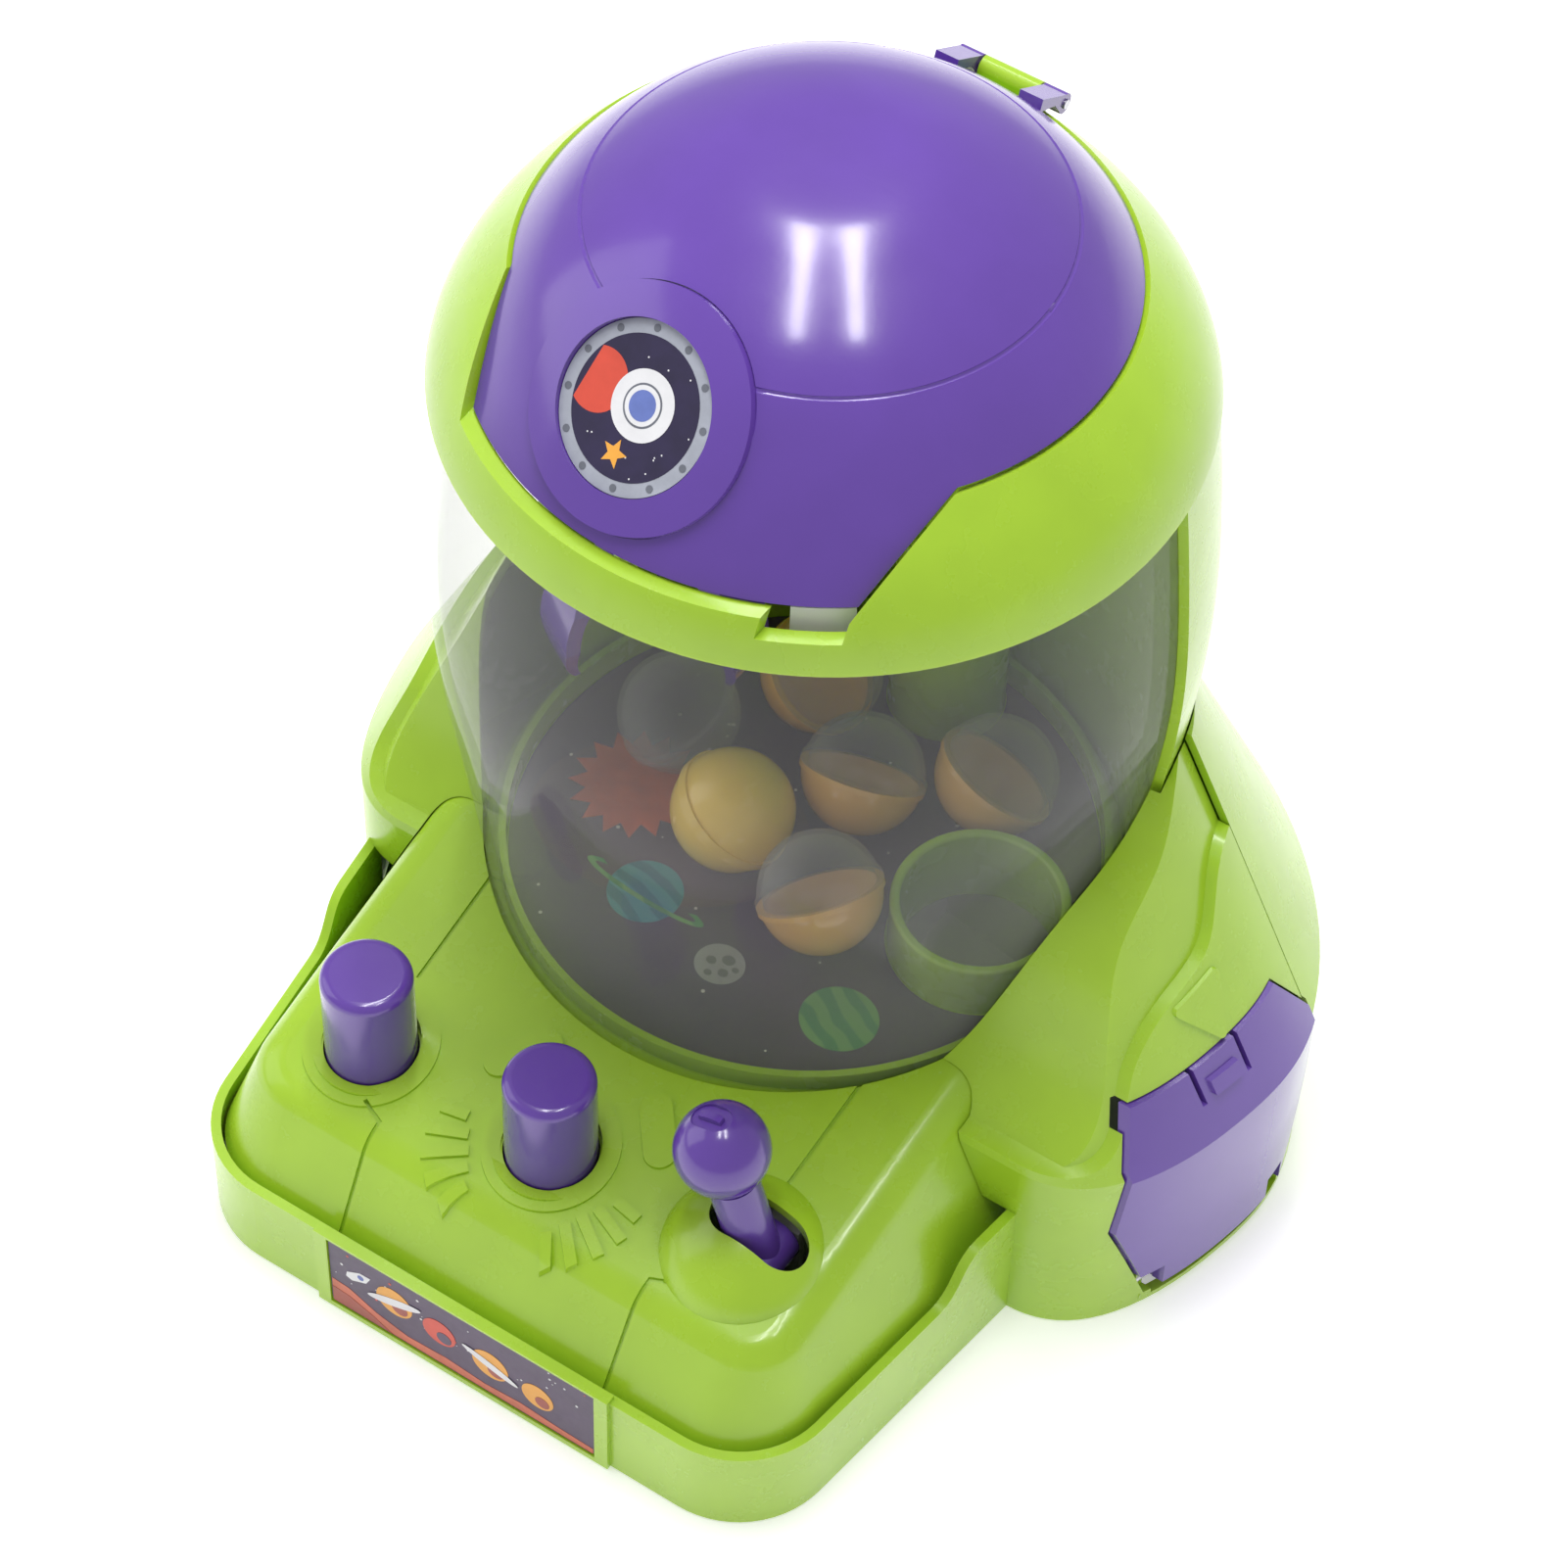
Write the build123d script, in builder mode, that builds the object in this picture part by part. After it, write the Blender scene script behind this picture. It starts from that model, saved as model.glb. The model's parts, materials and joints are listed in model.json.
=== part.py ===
from build123d import *
from math import atan2, cos, pi, radians, sin, sqrt, tan
import os

os.makedirs("parts", exist_ok=True)

# ---------------------------------------------------------------- driving dimensions (mm)
WALL = 2.2  # general moulded wall
GAP = 0.35  # gap between neighbouring shells

# tank: a barrel turned about Z, with the origin on its axis at ground level
BARREL = [(68.3, 50), (74.3, 100), (78, 138), (76.6, 170), (73.8, 196.6)]
DOME = [(69.9, 207.5), (59.6, 224), (46.5, 238.5), (27, 249), (0, 252)]
REAR_BULGE = 2.2  # how far the rear shell stands outside the window
WINDOW_HALF_ANGLE = 97
FLOOR_TOP = 48
FLOOR_THICKNESS = 2.2
DECK_HOLE_RADIUS = 69.2
HOOP_BOTTOM = 196.6
BADGE_CENTRE = (-7, -54.5, 230)
BADGE_AZIMUTH = -10
BADGE_TILT = 42
BADGE_RADIUS = 23.5
PICTURE_RADIUS = 16.4
LID_HINGE = (65, 222.3)  # y and z of the lid's hinge axis
LID_NORMALS = [(0.88, 0.47), (0.8, 0.6), (0.62, 0.78), (0.35, 0.94), (0, 1)]
LID_RIM = 224  # height of the lid's edge at the sides and the back
VISOR_BOTTOM = 208

# lower body
TRAY_FRONT = -127.1
TRAY_HALF_WIDTH = 73.7
TRAY_FLARE = 7.5  # degrees that each side opens towards the back
TRAY_CORNER = 22.5
TRAY_LIP = 24.5
SEAM = 35  # height of the joint between the base and the upper covers
DECK_LOW_Y = -50.3
DECK_LOW_Z = 55.4
DECK_SLOPE = 0.2  # rise per mm towards the back
SHOULDER_START = 50
SHOULDER_TOP = 126
SHOULDER_LEAN = 27
SPLIT_Y = 20  # where the side pods meet the rear housing
LEAF_INSET = 2.6
LABEL = (67.5, 23)

# controls
LIFT_XY = (-46, -94.5)
GRAB_XY = (0, -94.5)
BUTTON_RADIUS = 9.75
BUTTON_TOP = 71.5
BUTTON_SKIRT = 30.8
BUTTON_STROKE = 11
STICK_PIVOT = (49, -91, 44)
STICK_LEAN = 17
BALL_DISTANCE = 32
BALL_RADIUS = 10
STICK_ARM = 26.5
DOME_X = 46
DOME_RADIUS = 19.5
DOME_DROP = 10
DECK_FOOT_Z = 21
DECK_TOP_HALF = 66.5

# crane
COLUMN_XY = (3, 52)
REACH = 65
REST_SWING = -45.6  # boom direction at rest, turned from -Y
SLEEVE_RADIUS = 13
SLEEVE_TOP = 104
TURRET_RADIUS = 8
TURRET_TOP = 172
ROD_RADIUS = 3
BOOM_Z = 134
LIFT = 17.7
GEAR_MODULE = 1.25
GEAR_TEETH = 17
PITCH_RADIUS = GEAR_MODULE * GEAR_TEETH / 2
RACK_Z = 31
BACKLASH = 0.12
BAR_X = -13.5  # slider's long bar at rest
RACK_END = 55
LEVER_SHORT = 59  # lever, from its pivot to the lift knob
LEVER_SLOPE = 7.2
LEVER_PIVOT_Z = 20.2
ROD_FOOT = 11.6
CAPSULE_TILT = 38
FINGER_HINGE_Z = 113.6
FINGER_HINGE_R = 9

# prize path
CHUTE_XY = (44.5, -1)
CHUTE_INNER = 17
CHUTE_WALL = 2.2
RING_TOP = 62.5
DOOR_HINGE_Z = 7
CHUTE_END = 97
DOOR_AXIS_A = (104.5, -32)
DOOR_AXIS_B = (113.5, 10)
EAR_SHARES = (0.06, 0.94)  # places of the clips along the door's pin

CAPSULE_RADIUS = 14
CAPSULES = [
    (-12, -10.4, 35),
    (15.4, -18.2, 150),
    (5.4, 13.8, 100),
    (29.3, 29.6, 60),
    (-36.7, 5.3, 200),
    (-17.4, 32.2, 10),
]  # x, y and the direction that each one leans in

# screws from below: x, y of the screw, then x, y of the wall that its boss stands against
SCREWS = [
    (68.4, -106, 75.4, -106),
    (-68.4, -106, -75.4, -106),
    (74.5, -60, 81.4, -60),
    (-74.5, -60, -81.4, -60),
    (81, 56.2, 87, 59.5),
    (-76.5, 56.2, -82.6, 59.5),
    (0, 83, 0, 89.9),
]
FLOOR_POSTS = [(45, -45), (42, 45), (-45, 42), (-48, -38)]
DECK_POSTS = [(-23, -111), (23, -111), (-66, -72), (70, -66)]


def write(part, name):
    part.label = name
    export_step(part, f"parts/{name}.step")


def shifted(points, grow):
    """Profile points of a turned wall, moved outward by grow."""
    return [(radius + grow, height) for radius, height in points]


def turned_band(outer, inner, half_angle=None, facing=-90):
    """A wall turned about Z between two profiles, all round or over an arc centred on facing."""
    arc = 360 if half_angle is None else 2 * half_angle
    start = facing - (0 if half_angle is None else half_angle)
    direction = (cos(radians(start)), sin(radians(start)), 0)
    plane = Plane(origin=(0, 0, 0), x_dir=direction, z_dir=(direction[1], -direction[0], 0))
    with BuildPart() as band:
        with BuildSketch(plane):
            with BuildLine():
                up = Spline(*outer)
                down = Spline(*inner)
                Line(up @ 0, down @ 0)
                Line(up @ 1, down @ 1)
            make_face()
        revolve(axis=Axis.Z, revolution_arc=arc)
    return band.part


def solid_of_revolution(profile, bottom):
    """The space inside a turned profile, from the height bottom up to the profile's top."""
    with BuildPart() as full:
        with BuildSketch(Plane.XZ):
            with BuildLine():
                side = Spline(*profile)
                Polyline(profile[-1], (0, profile[-1][1]), (0, bottom), (profile[0][0], bottom), profile[0])
            make_face()
        revolve(axis=Axis.Z)
    return full.part


# ---------------------------------------------------------------- plan outlines
def flared(y):
    return TRAY_HALF_WIDTH + (y - TRAY_FRONT) * tan(radians(TRAY_FLARE))


def tray_outline(inset):
    """Front tray in plan: a flared rectangle with round front corners."""
    back = -40
    front = TRAY_FRONT + inset
    with BuildSketch() as outline:
        with BuildLine():
            Polyline(
                (flared(back) - inset, back),
                (flared(front) - inset, front),
                (-flared(front) + inset, front),
                (-flared(back) + inset, back),
                close=True,
            )
        make_face()
        corners = outline.vertices().group_by(Axis.Y)[0]
        fillet(corners, TRAY_CORNER - inset)
    return outline.sketch


POD_PLAN = [
    (84, -47.5), (97.6, -42.8), (107.8, -29), (114, -10), (116, 9), (111, 28), (88, 60), (48, 84), (0, 91),
]
LEFT_SHRINK = 0.885  # the left pod has no prize door and stands out less


def body_points(inset):
    """Outline points of the pods and the rear, moved towards the middle by inset."""
    left = [(-x * LEFT_SHRINK if y < 60 else -x * 0.95, y) for x, y in reversed(POD_PLAN[:-1])]
    moved = []
    for x, y in POD_PLAN + left:
        length = sqrt(x * x + (y - 12) ** 2)
        scale = (length - inset) / length
        moved.append((x * scale, 12 + (y - 12) * scale))
    return moved


def body_outline(inset, height):
    points = body_points(inset)
    with BuildSketch(Plane.XY.offset(height)) as outline:
        with BuildLine():
            Spline(*points)
            Line(points[-1], points[0])
        make_face()
    return outline.sketch


def body_form(inset, bottom=SEAM):
    """Solid of the pods and rear housing: upright walls, then a shoulder leaning inwards."""
    lean = (SHOULDER_TOP - SHOULDER_START) * tan(radians(SHOULDER_LEAN))
    with BuildPart() as form:
        add(body_outline(inset, bottom))
        extrude(amount=SHOULDER_START - bottom)
        loft([body_outline(inset, SHOULDER_START), body_outline(inset + lean, SHOULDER_TOP)], ruled=True)
    return form.part


def above_profile(points, drop=0):
    """Everything above a line z(y), across the whole width."""
    with BuildPart() as above:
        with BuildSketch(Plane.YZ):
            with BuildLine():
                line = Spline(*[(y, z - drop) for y, z in points])
                Polyline(
                    line @ 0,
                    (-140, points[0][1] - drop),
                    (-140, 300),
                    (140, 300),
                    (140, points[-1][1] - drop),
                    line @ 1,
                )
            make_face()
        extrude(amount=150, both=True)
    return above.part


BELT_TOP = [(-50, 52), (-35, 58), (-27, 71), (-13, 81), (0, 86), (10, 96), (20, 98)]
LEAF_TOP = [(-50, 48), (-36, 60), (-26, 79), (-15, 96), (0, 106), (12, 116), (20, 119)]
REAR_TOP = [(20, 119), (45, 112), (70, 98), (91, 74)]


def block(low, high):
    with BuildPart() as box:
        with Locations([((low[0] + high[0]) / 2, (low[1] + high[1]) / 2, (low[2] + high[2]) / 2)]):
            Box(high[0] - low[0], high[1] - low[1], high[2] - low[2])
    return box.part


def post(x, y, bottom, top, radius, bore=0.0):
    with BuildPart() as cylinder:
        with BuildSketch(Plane.XY.offset(bottom)):
            with Locations((x, y)):
                Circle(radius)
                if bore:
                    Circle(bore, mode=Mode.SUBTRACT)
        extrude(amount=top - bottom)
    return cylinder.part


def tank_space(grow):
    return solid_of_revolution(shifted(BARREL, grow), 20)


# ---------------------------------------------------------------- door outline
def door_prism(inset):
    """Eight-sided door outline seen along X, as a long prism."""
    points = [(-31, 66), (12, 68), (21, 54), (21, 32), (10, 3), (-30, 3), (-39, 32), (-37, 52)]
    with BuildPart() as prism:
        with BuildSketch(Plane.YZ.offset(88)):
            with BuildLine():
                Polyline(*points, close=True)
            make_face()
            offset(amount=-inset, kind=Kind.INTERSECTION)
        extrude(amount=40)
    return prism.part


def pin_between(a, b, radius, z):
    """A round pin lying from point a to point b in plan at the height z."""
    start = Vector(a[0], a[1], z)
    end = Vector(b[0], b[1], z)
    with BuildPart() as pin:
        with BuildSketch(Plane(origin=start, z_dir=end - start)):
            Circle(radius)
        extrude(amount=(end - start).length)
    return pin.part


def door_point(share):
    return tuple(a + (b - a) * share for a, b in zip(DOOR_AXIS_A, DOOR_AXIS_B))


# ---------------------------------------------------------------- base
def base_tray():
    outer_body = body_outline(0, 0)
    inner_body = body_outline(WALL, 0)
    with BuildPart() as tray:
        add(tray_outline(0))
        add(outer_body)
        extrude(amount=SEAM)
        with BuildSketch():
            add(tray_outline(WALL))
            add(inner_body)
        extrude(amount=SEAM, mode=Mode.SUBTRACT)
        # the front lip is lower and sweeps up to the pods
        with BuildSketch(Plane.YZ):
            with BuildLine():
                sweep_up = Spline((-72, TRAY_LIP), (-57, SEAM), tangents=[(1, 0), (1, 0)])
                Polyline(sweep_up @ 0, (-140, TRAY_LIP), (-140, 60), (-57, 60), sweep_up @ 1)
            make_face()
        extrude(amount=150, both=True, mode=Mode.SUBTRACT)
        # frame around the front label
        with BuildSketch(Plane.XY):
            with Locations((0, TRAY_FRONT + 0.2)):
                Rectangle(LABEL[0] + 7, 2.6)
        extrude(amount=TRAY_LIP + 1.2)
        with BuildSketch(Plane.XZ.offset(-TRAY_FRONT + 0.2)):
            with Locations((0, 1.8 + LABEL[1] / 2)):
                Rectangle(LABEL[0] + 0.4, LABEL[1] + 0.4)
        extrude(amount=3, mode=Mode.SUBTRACT)
        add(door_prism(0), mode=Mode.SUBTRACT)
        # room in the sill and corner for the door's foot to swing down and in
        add(block((100, -28.2, 1.5), (120, 12, 4.9)), mode=Mode.SUBTRACT)
        add(block((112.5, 9.6, 4.6), (120, 12.2, 7.1)), mode=Mode.SUBTRACT)
        # clips for the door's pin
        for share in EAR_SHARES:
            x, y = door_point(share)
            add(block((x - 3.2, y - 1.6, 1.2), (x + 0.6, y + 1.6, DOOR_HINGE_Z + 3)))
            add(block((x - 3.2, y - 1.6, 1.2), (x + 2, y + 1.6, 2.8)))
        add(pin_between(DOOR_AXIS_A, DOOR_AXIS_B, 1.2, DOOR_HINGE_Z), mode=Mode.SUBTRACT)
        # screw bosses against the walls
        for x, y, wall_x, wall_y in SCREWS:
            add(post(x, y, 2.4, 14, 3.6))
            add(web(x, y, wall_x, wall_y))
        for x, y, wall_x, wall_y in SCREWS:
            add(post(x, y, 0, 12.5, 1.45), mode=Mode.SUBTRACT)
    return tray.part


def web(x, y, wall_x, wall_y):
    """Rib from a screw boss to the wall beside it."""
    run = Vector(wall_x - x, wall_y - y, 0)
    with BuildPart() as rib:
        with BuildSketch(Plane(origin=(x, y, 2.4), x_dir=run, z_dir=(0, 0, 1))):
            with Locations((run.length / 2, 0)):
                Rectangle(run.length, 2.4)
        extrude(amount=11.6)
    return rib.part


def deck_props():
    """Posts from the bottom cover up to the underside of the deck."""
    with BuildPart() as props:
        add(deck_solid(WALL))
        add(prop_bundle(), mode=Mode.INTERSECT)
        for x, y in DECK_POSTS:
            add(post(x, y, 2.4, DECK_FOOT_Z + 1, 3))
    return props.part


def prop_bundle():
    with BuildPart() as bundle:
        for x, y in DECK_POSTS:
            add(post(x, y, DECK_FOOT_Z, 70, 3))
    return bundle.part


def bottom_cover():
    """Flat cover under the machine, with the posts that carry the knobs, deck and play floor."""
    with BuildPart() as cover:
        with BuildSketch():
            add(tray_outline(WALL + GAP))
            add(body_outline(WALL + GAP, 0))
        extrude(amount=2.4)
        # room for the door's clips and lower edge
        add(block((96, -45, -1), (130, 26, 3)), mode=Mode.SUBTRACT)
        for x, y in (LIFT_XY, GRAB_XY):
            add(post(x, y, 2.4, 38, 5))
            add(post(x, y, 38, 50, 2))
        for x, y in FLOOR_POSTS:
            add(post(x, y, 2.4, FLOOR_TOP - FLOOR_THICKNESS, 3.5))
        add(deck_props())
        for x, y, wall_x, wall_y in SCREWS:
            add(post(x, y, -1, 1.2, 3.3), mode=Mode.SUBTRACT)
            add(post(x, y, -1, 3, 1.7), mode=Mode.SUBTRACT)
    return cover.part


def screws():
    """Seven pan-head screws that hold the bottom cover to the base."""
    with BuildPart() as group:
        for x, y, wall_x, wall_y in SCREWS:
            add(post(x, y, 0.3, 1.2, 3))
            add(post(x, y, 1.2, 12, 1.4))
            with BuildSketch(Plane.XY.offset(0.3)):
                with Locations((x, y)):
                    Rectangle(3.4, 0.7)
                    Rectangle(0.7, 3.4)
            extrude(amount=0.5, mode=Mode.SUBTRACT)
    return group.part


def deck_foot(inset):
    """Lower outline of the deck, just inside the tray's lip."""
    front = TRAY_FRONT + WALL + 0.3 + inset
    back = DECK_LOW_Y + 22 - inset
    half_front = flared(TRAY_FRONT) - WALL - 0.3 - inset
    half_back = flared(back) - WALL - 0.3 - inset
    with BuildSketch(Plane.XY.offset(DECK_FOOT_Z)) as foot:
        with BuildLine():
            Polyline(
                (half_back, back),
                (half_front, front),
                (-half_front, front),
                (-half_back, back),
                close=True,
            )
        make_face()
        fillet(foot.vertices().group_by(Axis.Y)[0], TRAY_CORNER - WALL - inset)
        fillet(foot.vertices().group_by(Axis.Y)[-1], 4)
    return foot.sketch


def deck_solid(inset):
    """Sloping control deck: a slab that narrows to a tilted top with rounded edges."""
    deck_plane = Plane(origin=(0, DECK_LOW_Y, DECK_LOW_Z - inset), x_dir=(1, 0, 0), z_dir=(0, -DECK_SLOPE, 1))
    with BuildSketch(deck_plane) as top:
        with Locations((0, -20.5)):
            RectangleRounded(2 * (DECK_TOP_HALF - inset), 86 - 2 * inset, 12 - inset)
    with BuildPart() as slab:
        loft([deck_foot(inset), top.sketch], ruled=True)
        fillet(slab.faces().sort_by(Axis.Z)[-1].edges(), 8 - inset)
    return slab.part


def deck_height(y):
    return DECK_LOW_Z + DECK_SLOPE * (y - DECK_LOW_Y)


def dome_cap(inset):
    """Round dome that the joystick comes out of."""
    x, y, z = STICK_PIVOT
    with BuildPart() as dome:
        with Locations((DOME_X, y, deck_height(y) - DOME_DROP)):
            Sphere(DOME_RADIUS - inset)
        add(block((0, -140, 0), (100, 0, deck_height(y) - 8)), mode=Mode.SUBTRACT)
    return dome.part


def thin_wall(start, end, width):
    """Upright slab standing on a line in plan, to cut a groove with."""
    run = Vector(end[0] - start[0], end[1] - start[1], 0)
    with BuildPart() as wall:
        with BuildSketch(Plane(origin=(start[0], start[1], 20), x_dir=run, z_dir=(0, 0, 1))):
            with Locations((run.length / 2, 0)):
                Rectangle(run.length + width * 0.7, width)
        extrude(amount=50)
    return wall.part


def deck_grooves():
    """Panel lines that run from the tank past the controls to the label."""
    with BuildPart() as grooves:
        for side in (-1, 1):
            add(thin_wall((side * 47, -48), (side * 46.5, -77), 0.9))
            add(thin_wall((side * 39, -106), (side * 34, -108), 0.9))
            add(thin_wall((side * 34, -108), (side * 33.5, -126), 0.9))
        add(deck_solid(0.7), mode=Mode.SUBTRACT)
    return grooves.part


def deck_relief():
    """Raised pads and ribs around the middle knob, as upright prisms."""
    x, y = GRAB_XY
    with BuildPart() as relief:
        with BuildSketch(Plane.XY.offset(30)):
            for side in (-1, 1):
                with Locations((x + side * 17, y + 14)):
                    SlotOverall(17, 7, rotation=90 + side * 39.5)
                for step, length in enumerate((6, 9, 10, 9, 6)):
                    angle = -10 - 12 * step
                    reach = 22
                    spot_x = x + side * reach * cos(radians(angle))
                    spot_y = y + reach * sin(radians(angle))
                    with Locations((spot_x, spot_y)):
                        Rectangle(length, 2.4, rotation=side * angle)
        extrude(amount=40)
        add(deck_solid(-0.8), mode=Mode.INTERSECT)
    return relief.part


def console_cover():
    with BuildPart() as cover:
        add(deck_solid(0))
        add(dome_cap(0))
        for x, y in (LIFT_XY, GRAB_XY):
            add(post(x, y, deck_height(y) - 3, deck_height(y) + 3.6, 14.6))
        # the raised rings follow the deck's slope
        lifted = (0, DECK_LOW_Y, DECK_LOW_Z + 0.7)
        with BuildSketch(Plane(origin=lifted, x_dir=(1, 0, 0), z_dir=(0, -DECK_SLOPE, 1))):
            with Locations((LIFT_XY[0] / 2, -44)):
                Rectangle(90, 50)
        extrude(amount=9, mode=Mode.SUBTRACT)
        add(deck_relief())
        add(deck_grooves(), mode=Mode.SUBTRACT)
        add(dome_cap(0))
        add(deck_solid(WALL), mode=Mode.SUBTRACT)
        add(dome_cap(WALL), mode=Mode.SUBTRACT)
        add(post(0, 0, 0, 100, DECK_HOLE_RADIUS), mode=Mode.SUBTRACT)
        for x, y in (LIFT_XY, GRAB_XY):
            add(post(x, y, 38, deck_height(y) - 1, 12.4))
            add(post(x, y, 30, 70, BUTTON_RADIUS + GAP), mode=Mode.SUBTRACT)
            add(post(x, y, deck_height(y) - 0.6, 70, BUTTON_RADIUS + 0.8), mode=Mode.SUBTRACT)
        # slot that the stick swings in
        with BuildSketch(Plane.XY.offset(40)):
            with Locations((STICK_PIVOT[0], STICK_PIVOT[1])):
                SlotOverall(22, 12)
        extrude(amount=30, mode=Mode.SUBTRACT)
    return cover.part


# ---------------------------------------------------------------- side pods and rear
def cut_body(inset, top_line, drop, bottom=SEAM):
    """Body form with everything above a line z(y) taken off."""
    with BuildPart() as solid:
        add(body_form(inset, bottom))
        add(above_profile(top_line, drop), mode=Mode.SUBTRACT)
    return solid.part


def emblem():
    """Raised three-sided badge above the prize door."""
    with BuildPart() as badge:
        with BuildSketch(Plane.YZ.offset(80)):
            with BuildLine():
                Polyline((-13, 78.5), (-2, 80.5), (-6, 69), close=True)
            make_face()
            offset(amount=1.2)
        extrude(amount=50)
        add(body_form(-0.8), mode=Mode.INTERSECT)
    return badge.part


def pod_shell(right):
    """Side pod: a belt with a leaf-shaped shoulder standing up behind it against the tank."""
    far_side = block((-150, -150, 0), (0, 150, 200)) if right else block((0, -150, 0), (150, 150, 200))
    with BuildPart() as pod:
        add(cut_body(LEAF_INSET, LEAF_TOP, 0))
        add(cut_body(0, BELT_TOP, 0))
        if right:
            add(emblem())
        add(cut_body(LEAF_INSET + WALL, LEAF_TOP, WALL + 1, SEAM - 1), mode=Mode.SUBTRACT)
        add(cut_body(WALL, BELT_TOP, WALL, SEAM - 1), mode=Mode.SUBTRACT)
        add(tank_space(GAP), mode=Mode.SUBTRACT)
        add(rear_shell_space(), mode=Mode.SUBTRACT)
        add(post(0, 0, 0, 60, DECK_HOLE_RADIUS), mode=Mode.SUBTRACT)
        add(deck_solid(-0.25), mode=Mode.SUBTRACT)
        add(block((-150, SPLIT_Y, 0), (150, 150, 200)), mode=Mode.SUBTRACT)
        add(far_side, mode=Mode.SUBTRACT)
        if right:
            add(door_prism(0), mode=Mode.SUBTRACT)
    return pod.part


def rear_shell_space():
    """Room for the rear tank shell, which stands outside the window."""
    outer = shifted(BARREL, REAR_BULGE + GAP)
    return turned_band([(outer[0][0], 30)] + outer, [(60, 30)] + shifted(BARREL, -5), 84, 90)


def rear_housing():
    """Cover behind the tank, from one pod round to the other."""
    with BuildPart() as housing:
        add(cut_body(0, REAR_TOP, 0))
        add(cut_body(WALL, REAR_TOP, WALL, SEAM - 1), mode=Mode.SUBTRACT)
        add(tank_space(REAR_BULGE + GAP), mode=Mode.SUBTRACT)
        add(block((-150, -150, 0), (150, SPLIT_Y + 0.3, 200)), mode=Mode.SUBTRACT)
        add(door_prism(-0.4), mode=Mode.SUBTRACT)
    return housing.part


# ---------------------------------------------------------------- tank
def front_window():
    return turned_band(BARREL, shifted(BARREL, -2), WINDOW_HALF_ANGLE)


def tank_rear():
    """Opaque rear half of the tank, standing a little outside the window."""
    outer = shifted(BARREL, REAR_BULGE)
    inner = shifted(BARREL, REAR_BULGE - WALL)
    return turned_band(outer, inner, 180 - WINDOW_HALF_ANGLE - 0.3, 90)


def top_hoop():
    """Ring on top of the tank that the lid sits in, cut low at the front for the visor."""
    outer = [(76.6, HOOP_BOTTOM), (74.8, 203), (69.6, 212.5), (60.4, LID_RIM)]
    inner = [(73.4, HOOP_BOTTOM), (71.6, 203), (66.4, 211.5), (58.2, LID_RIM - 1.5)]
    with BuildPart() as hoop:
        add(turned_band(outer, inner))
        # skirt that goes down inside the window
        add(post(0, 0, HOOP_BOTTOM, HOOP_BOTTOM + 1.6, 74, 69.6))
        add(post(0, 0, HOOP_BOTTOM - 6, HOOP_BOTTOM + 1, 71.2, 69.6))
        add(visor_prism(0.5), mode=Mode.SUBTRACT)
        add(block((29.5, -90, 203.4), (43.5, -40, 212)), mode=Mode.SUBTRACT)
        add(lid_sweep(), mode=Mode.SUBTRACT)
        add(hinge_lug())
        add(hinge_bore(1, 22), mode=Mode.SUBTRACT)
    return hoop.part


def lid_sweep():
    """Room in the hoop for the lid's knuckles and arms."""
    room_side = [(54, 226.5), (60, 224.2), (62, 221), (65, 219.3), (68, 221), (68, 230), (54, 232)]
    with BuildPart() as room:
        for x in (-9.6, 9.6):
            with BuildSketch(Plane.YZ.offset(x - 3)):
                with BuildLine():
                    Polyline(*room_side, close=True)
                make_face()
            extrude(amount=6)
    return room.part


def visor_prism(grow):
    """Shape of the visor seen from the front, as a prism along Y on the front side only."""
    low = VISOR_BOTTOM - 1.5 * grow
    with BuildPart() as prism:
        with BuildSketch(Plane.XZ.offset(30)):
            with BuildLine():
                Polyline(
                    (-43 - grow, low),
                    (43 + grow, low),
                    (50 + grow, LID_RIM + 2),
                    (-50 - grow, LID_RIM + 2),
                    close=True,
                )
            make_face()
        extrude(amount=60)
    return prism.part


def lid_shell():
    with BuildPart() as shell:
        with BuildSketch(Plane.XZ):
            with BuildLine():
                start = (-0.53, 0.85)
                outside = Spline(*DOME, tangents=[start, (-1, 0)])
                moved = [(max(r - WALL * n, 0), z - WALL * m) for (r, z), (n, m) in zip(DOME, LID_NORMALS)]
                inside = Spline(*moved, tangents=[start, (-1, 0)])
                Line(outside @ 0, inside @ 0)
                Line(outside @ 1, inside @ 1)
            make_face()
        revolve(axis=Axis.Z)
    return shell.part


def hoop_space():
    """The space that the hoop takes: all below the lid's edge, apart from the visor."""
    with BuildPart() as space:
        with Locations((0, 0, LID_RIM - 25 + 0.4)):
            Cylinder(120, 50)
        add(visor_prism(0), mode=Mode.SUBTRACT)
    return space.part


def lid_knuckles():
    y, z = LID_HINGE
    arm = [(y + 0.4, z + 2.1), (56, 230.4), (55, 227.8), (61, 224.9), (y - 2, z - 0.7)]
    with BuildPart() as knuckles:
        for x in (-9.6, 9.6):
            with BuildSketch(Plane.YZ.offset(x - 2.6)):
                with Locations((y, z)):
                    Circle(2.2)
                with BuildLine():
                    Polyline(*arm, close=True)
                make_face()
            extrude(amount=5.2)
    return knuckles.part


def hinge_bore(radius, half_length):
    with BuildPart() as bore:
        with BuildSketch(Plane.YZ.offset(-half_length)):
            with Locations(LID_HINGE):
                Circle(radius)
        extrude(amount=2 * half_length)
    return bore.part


def lid():
    """Domed lid with a visor that reaches down between the ends of the hoop's step."""
    with BuildPart() as dome:
        add(lid_shell())
        add(hoop_space(), mode=Mode.SUBTRACT)
        add(lid_knuckles())
        add(hinge_bore(1.05, 22), mode=Mode.SUBTRACT)
        add(badge_plug(), mode=Mode.SUBTRACT)
        # shallow groove round the crown
        with Locations((0, 0, 238.7)):
            Torus(46.7, 0.6, mode=Mode.SUBTRACT)
    return dome.part


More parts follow.
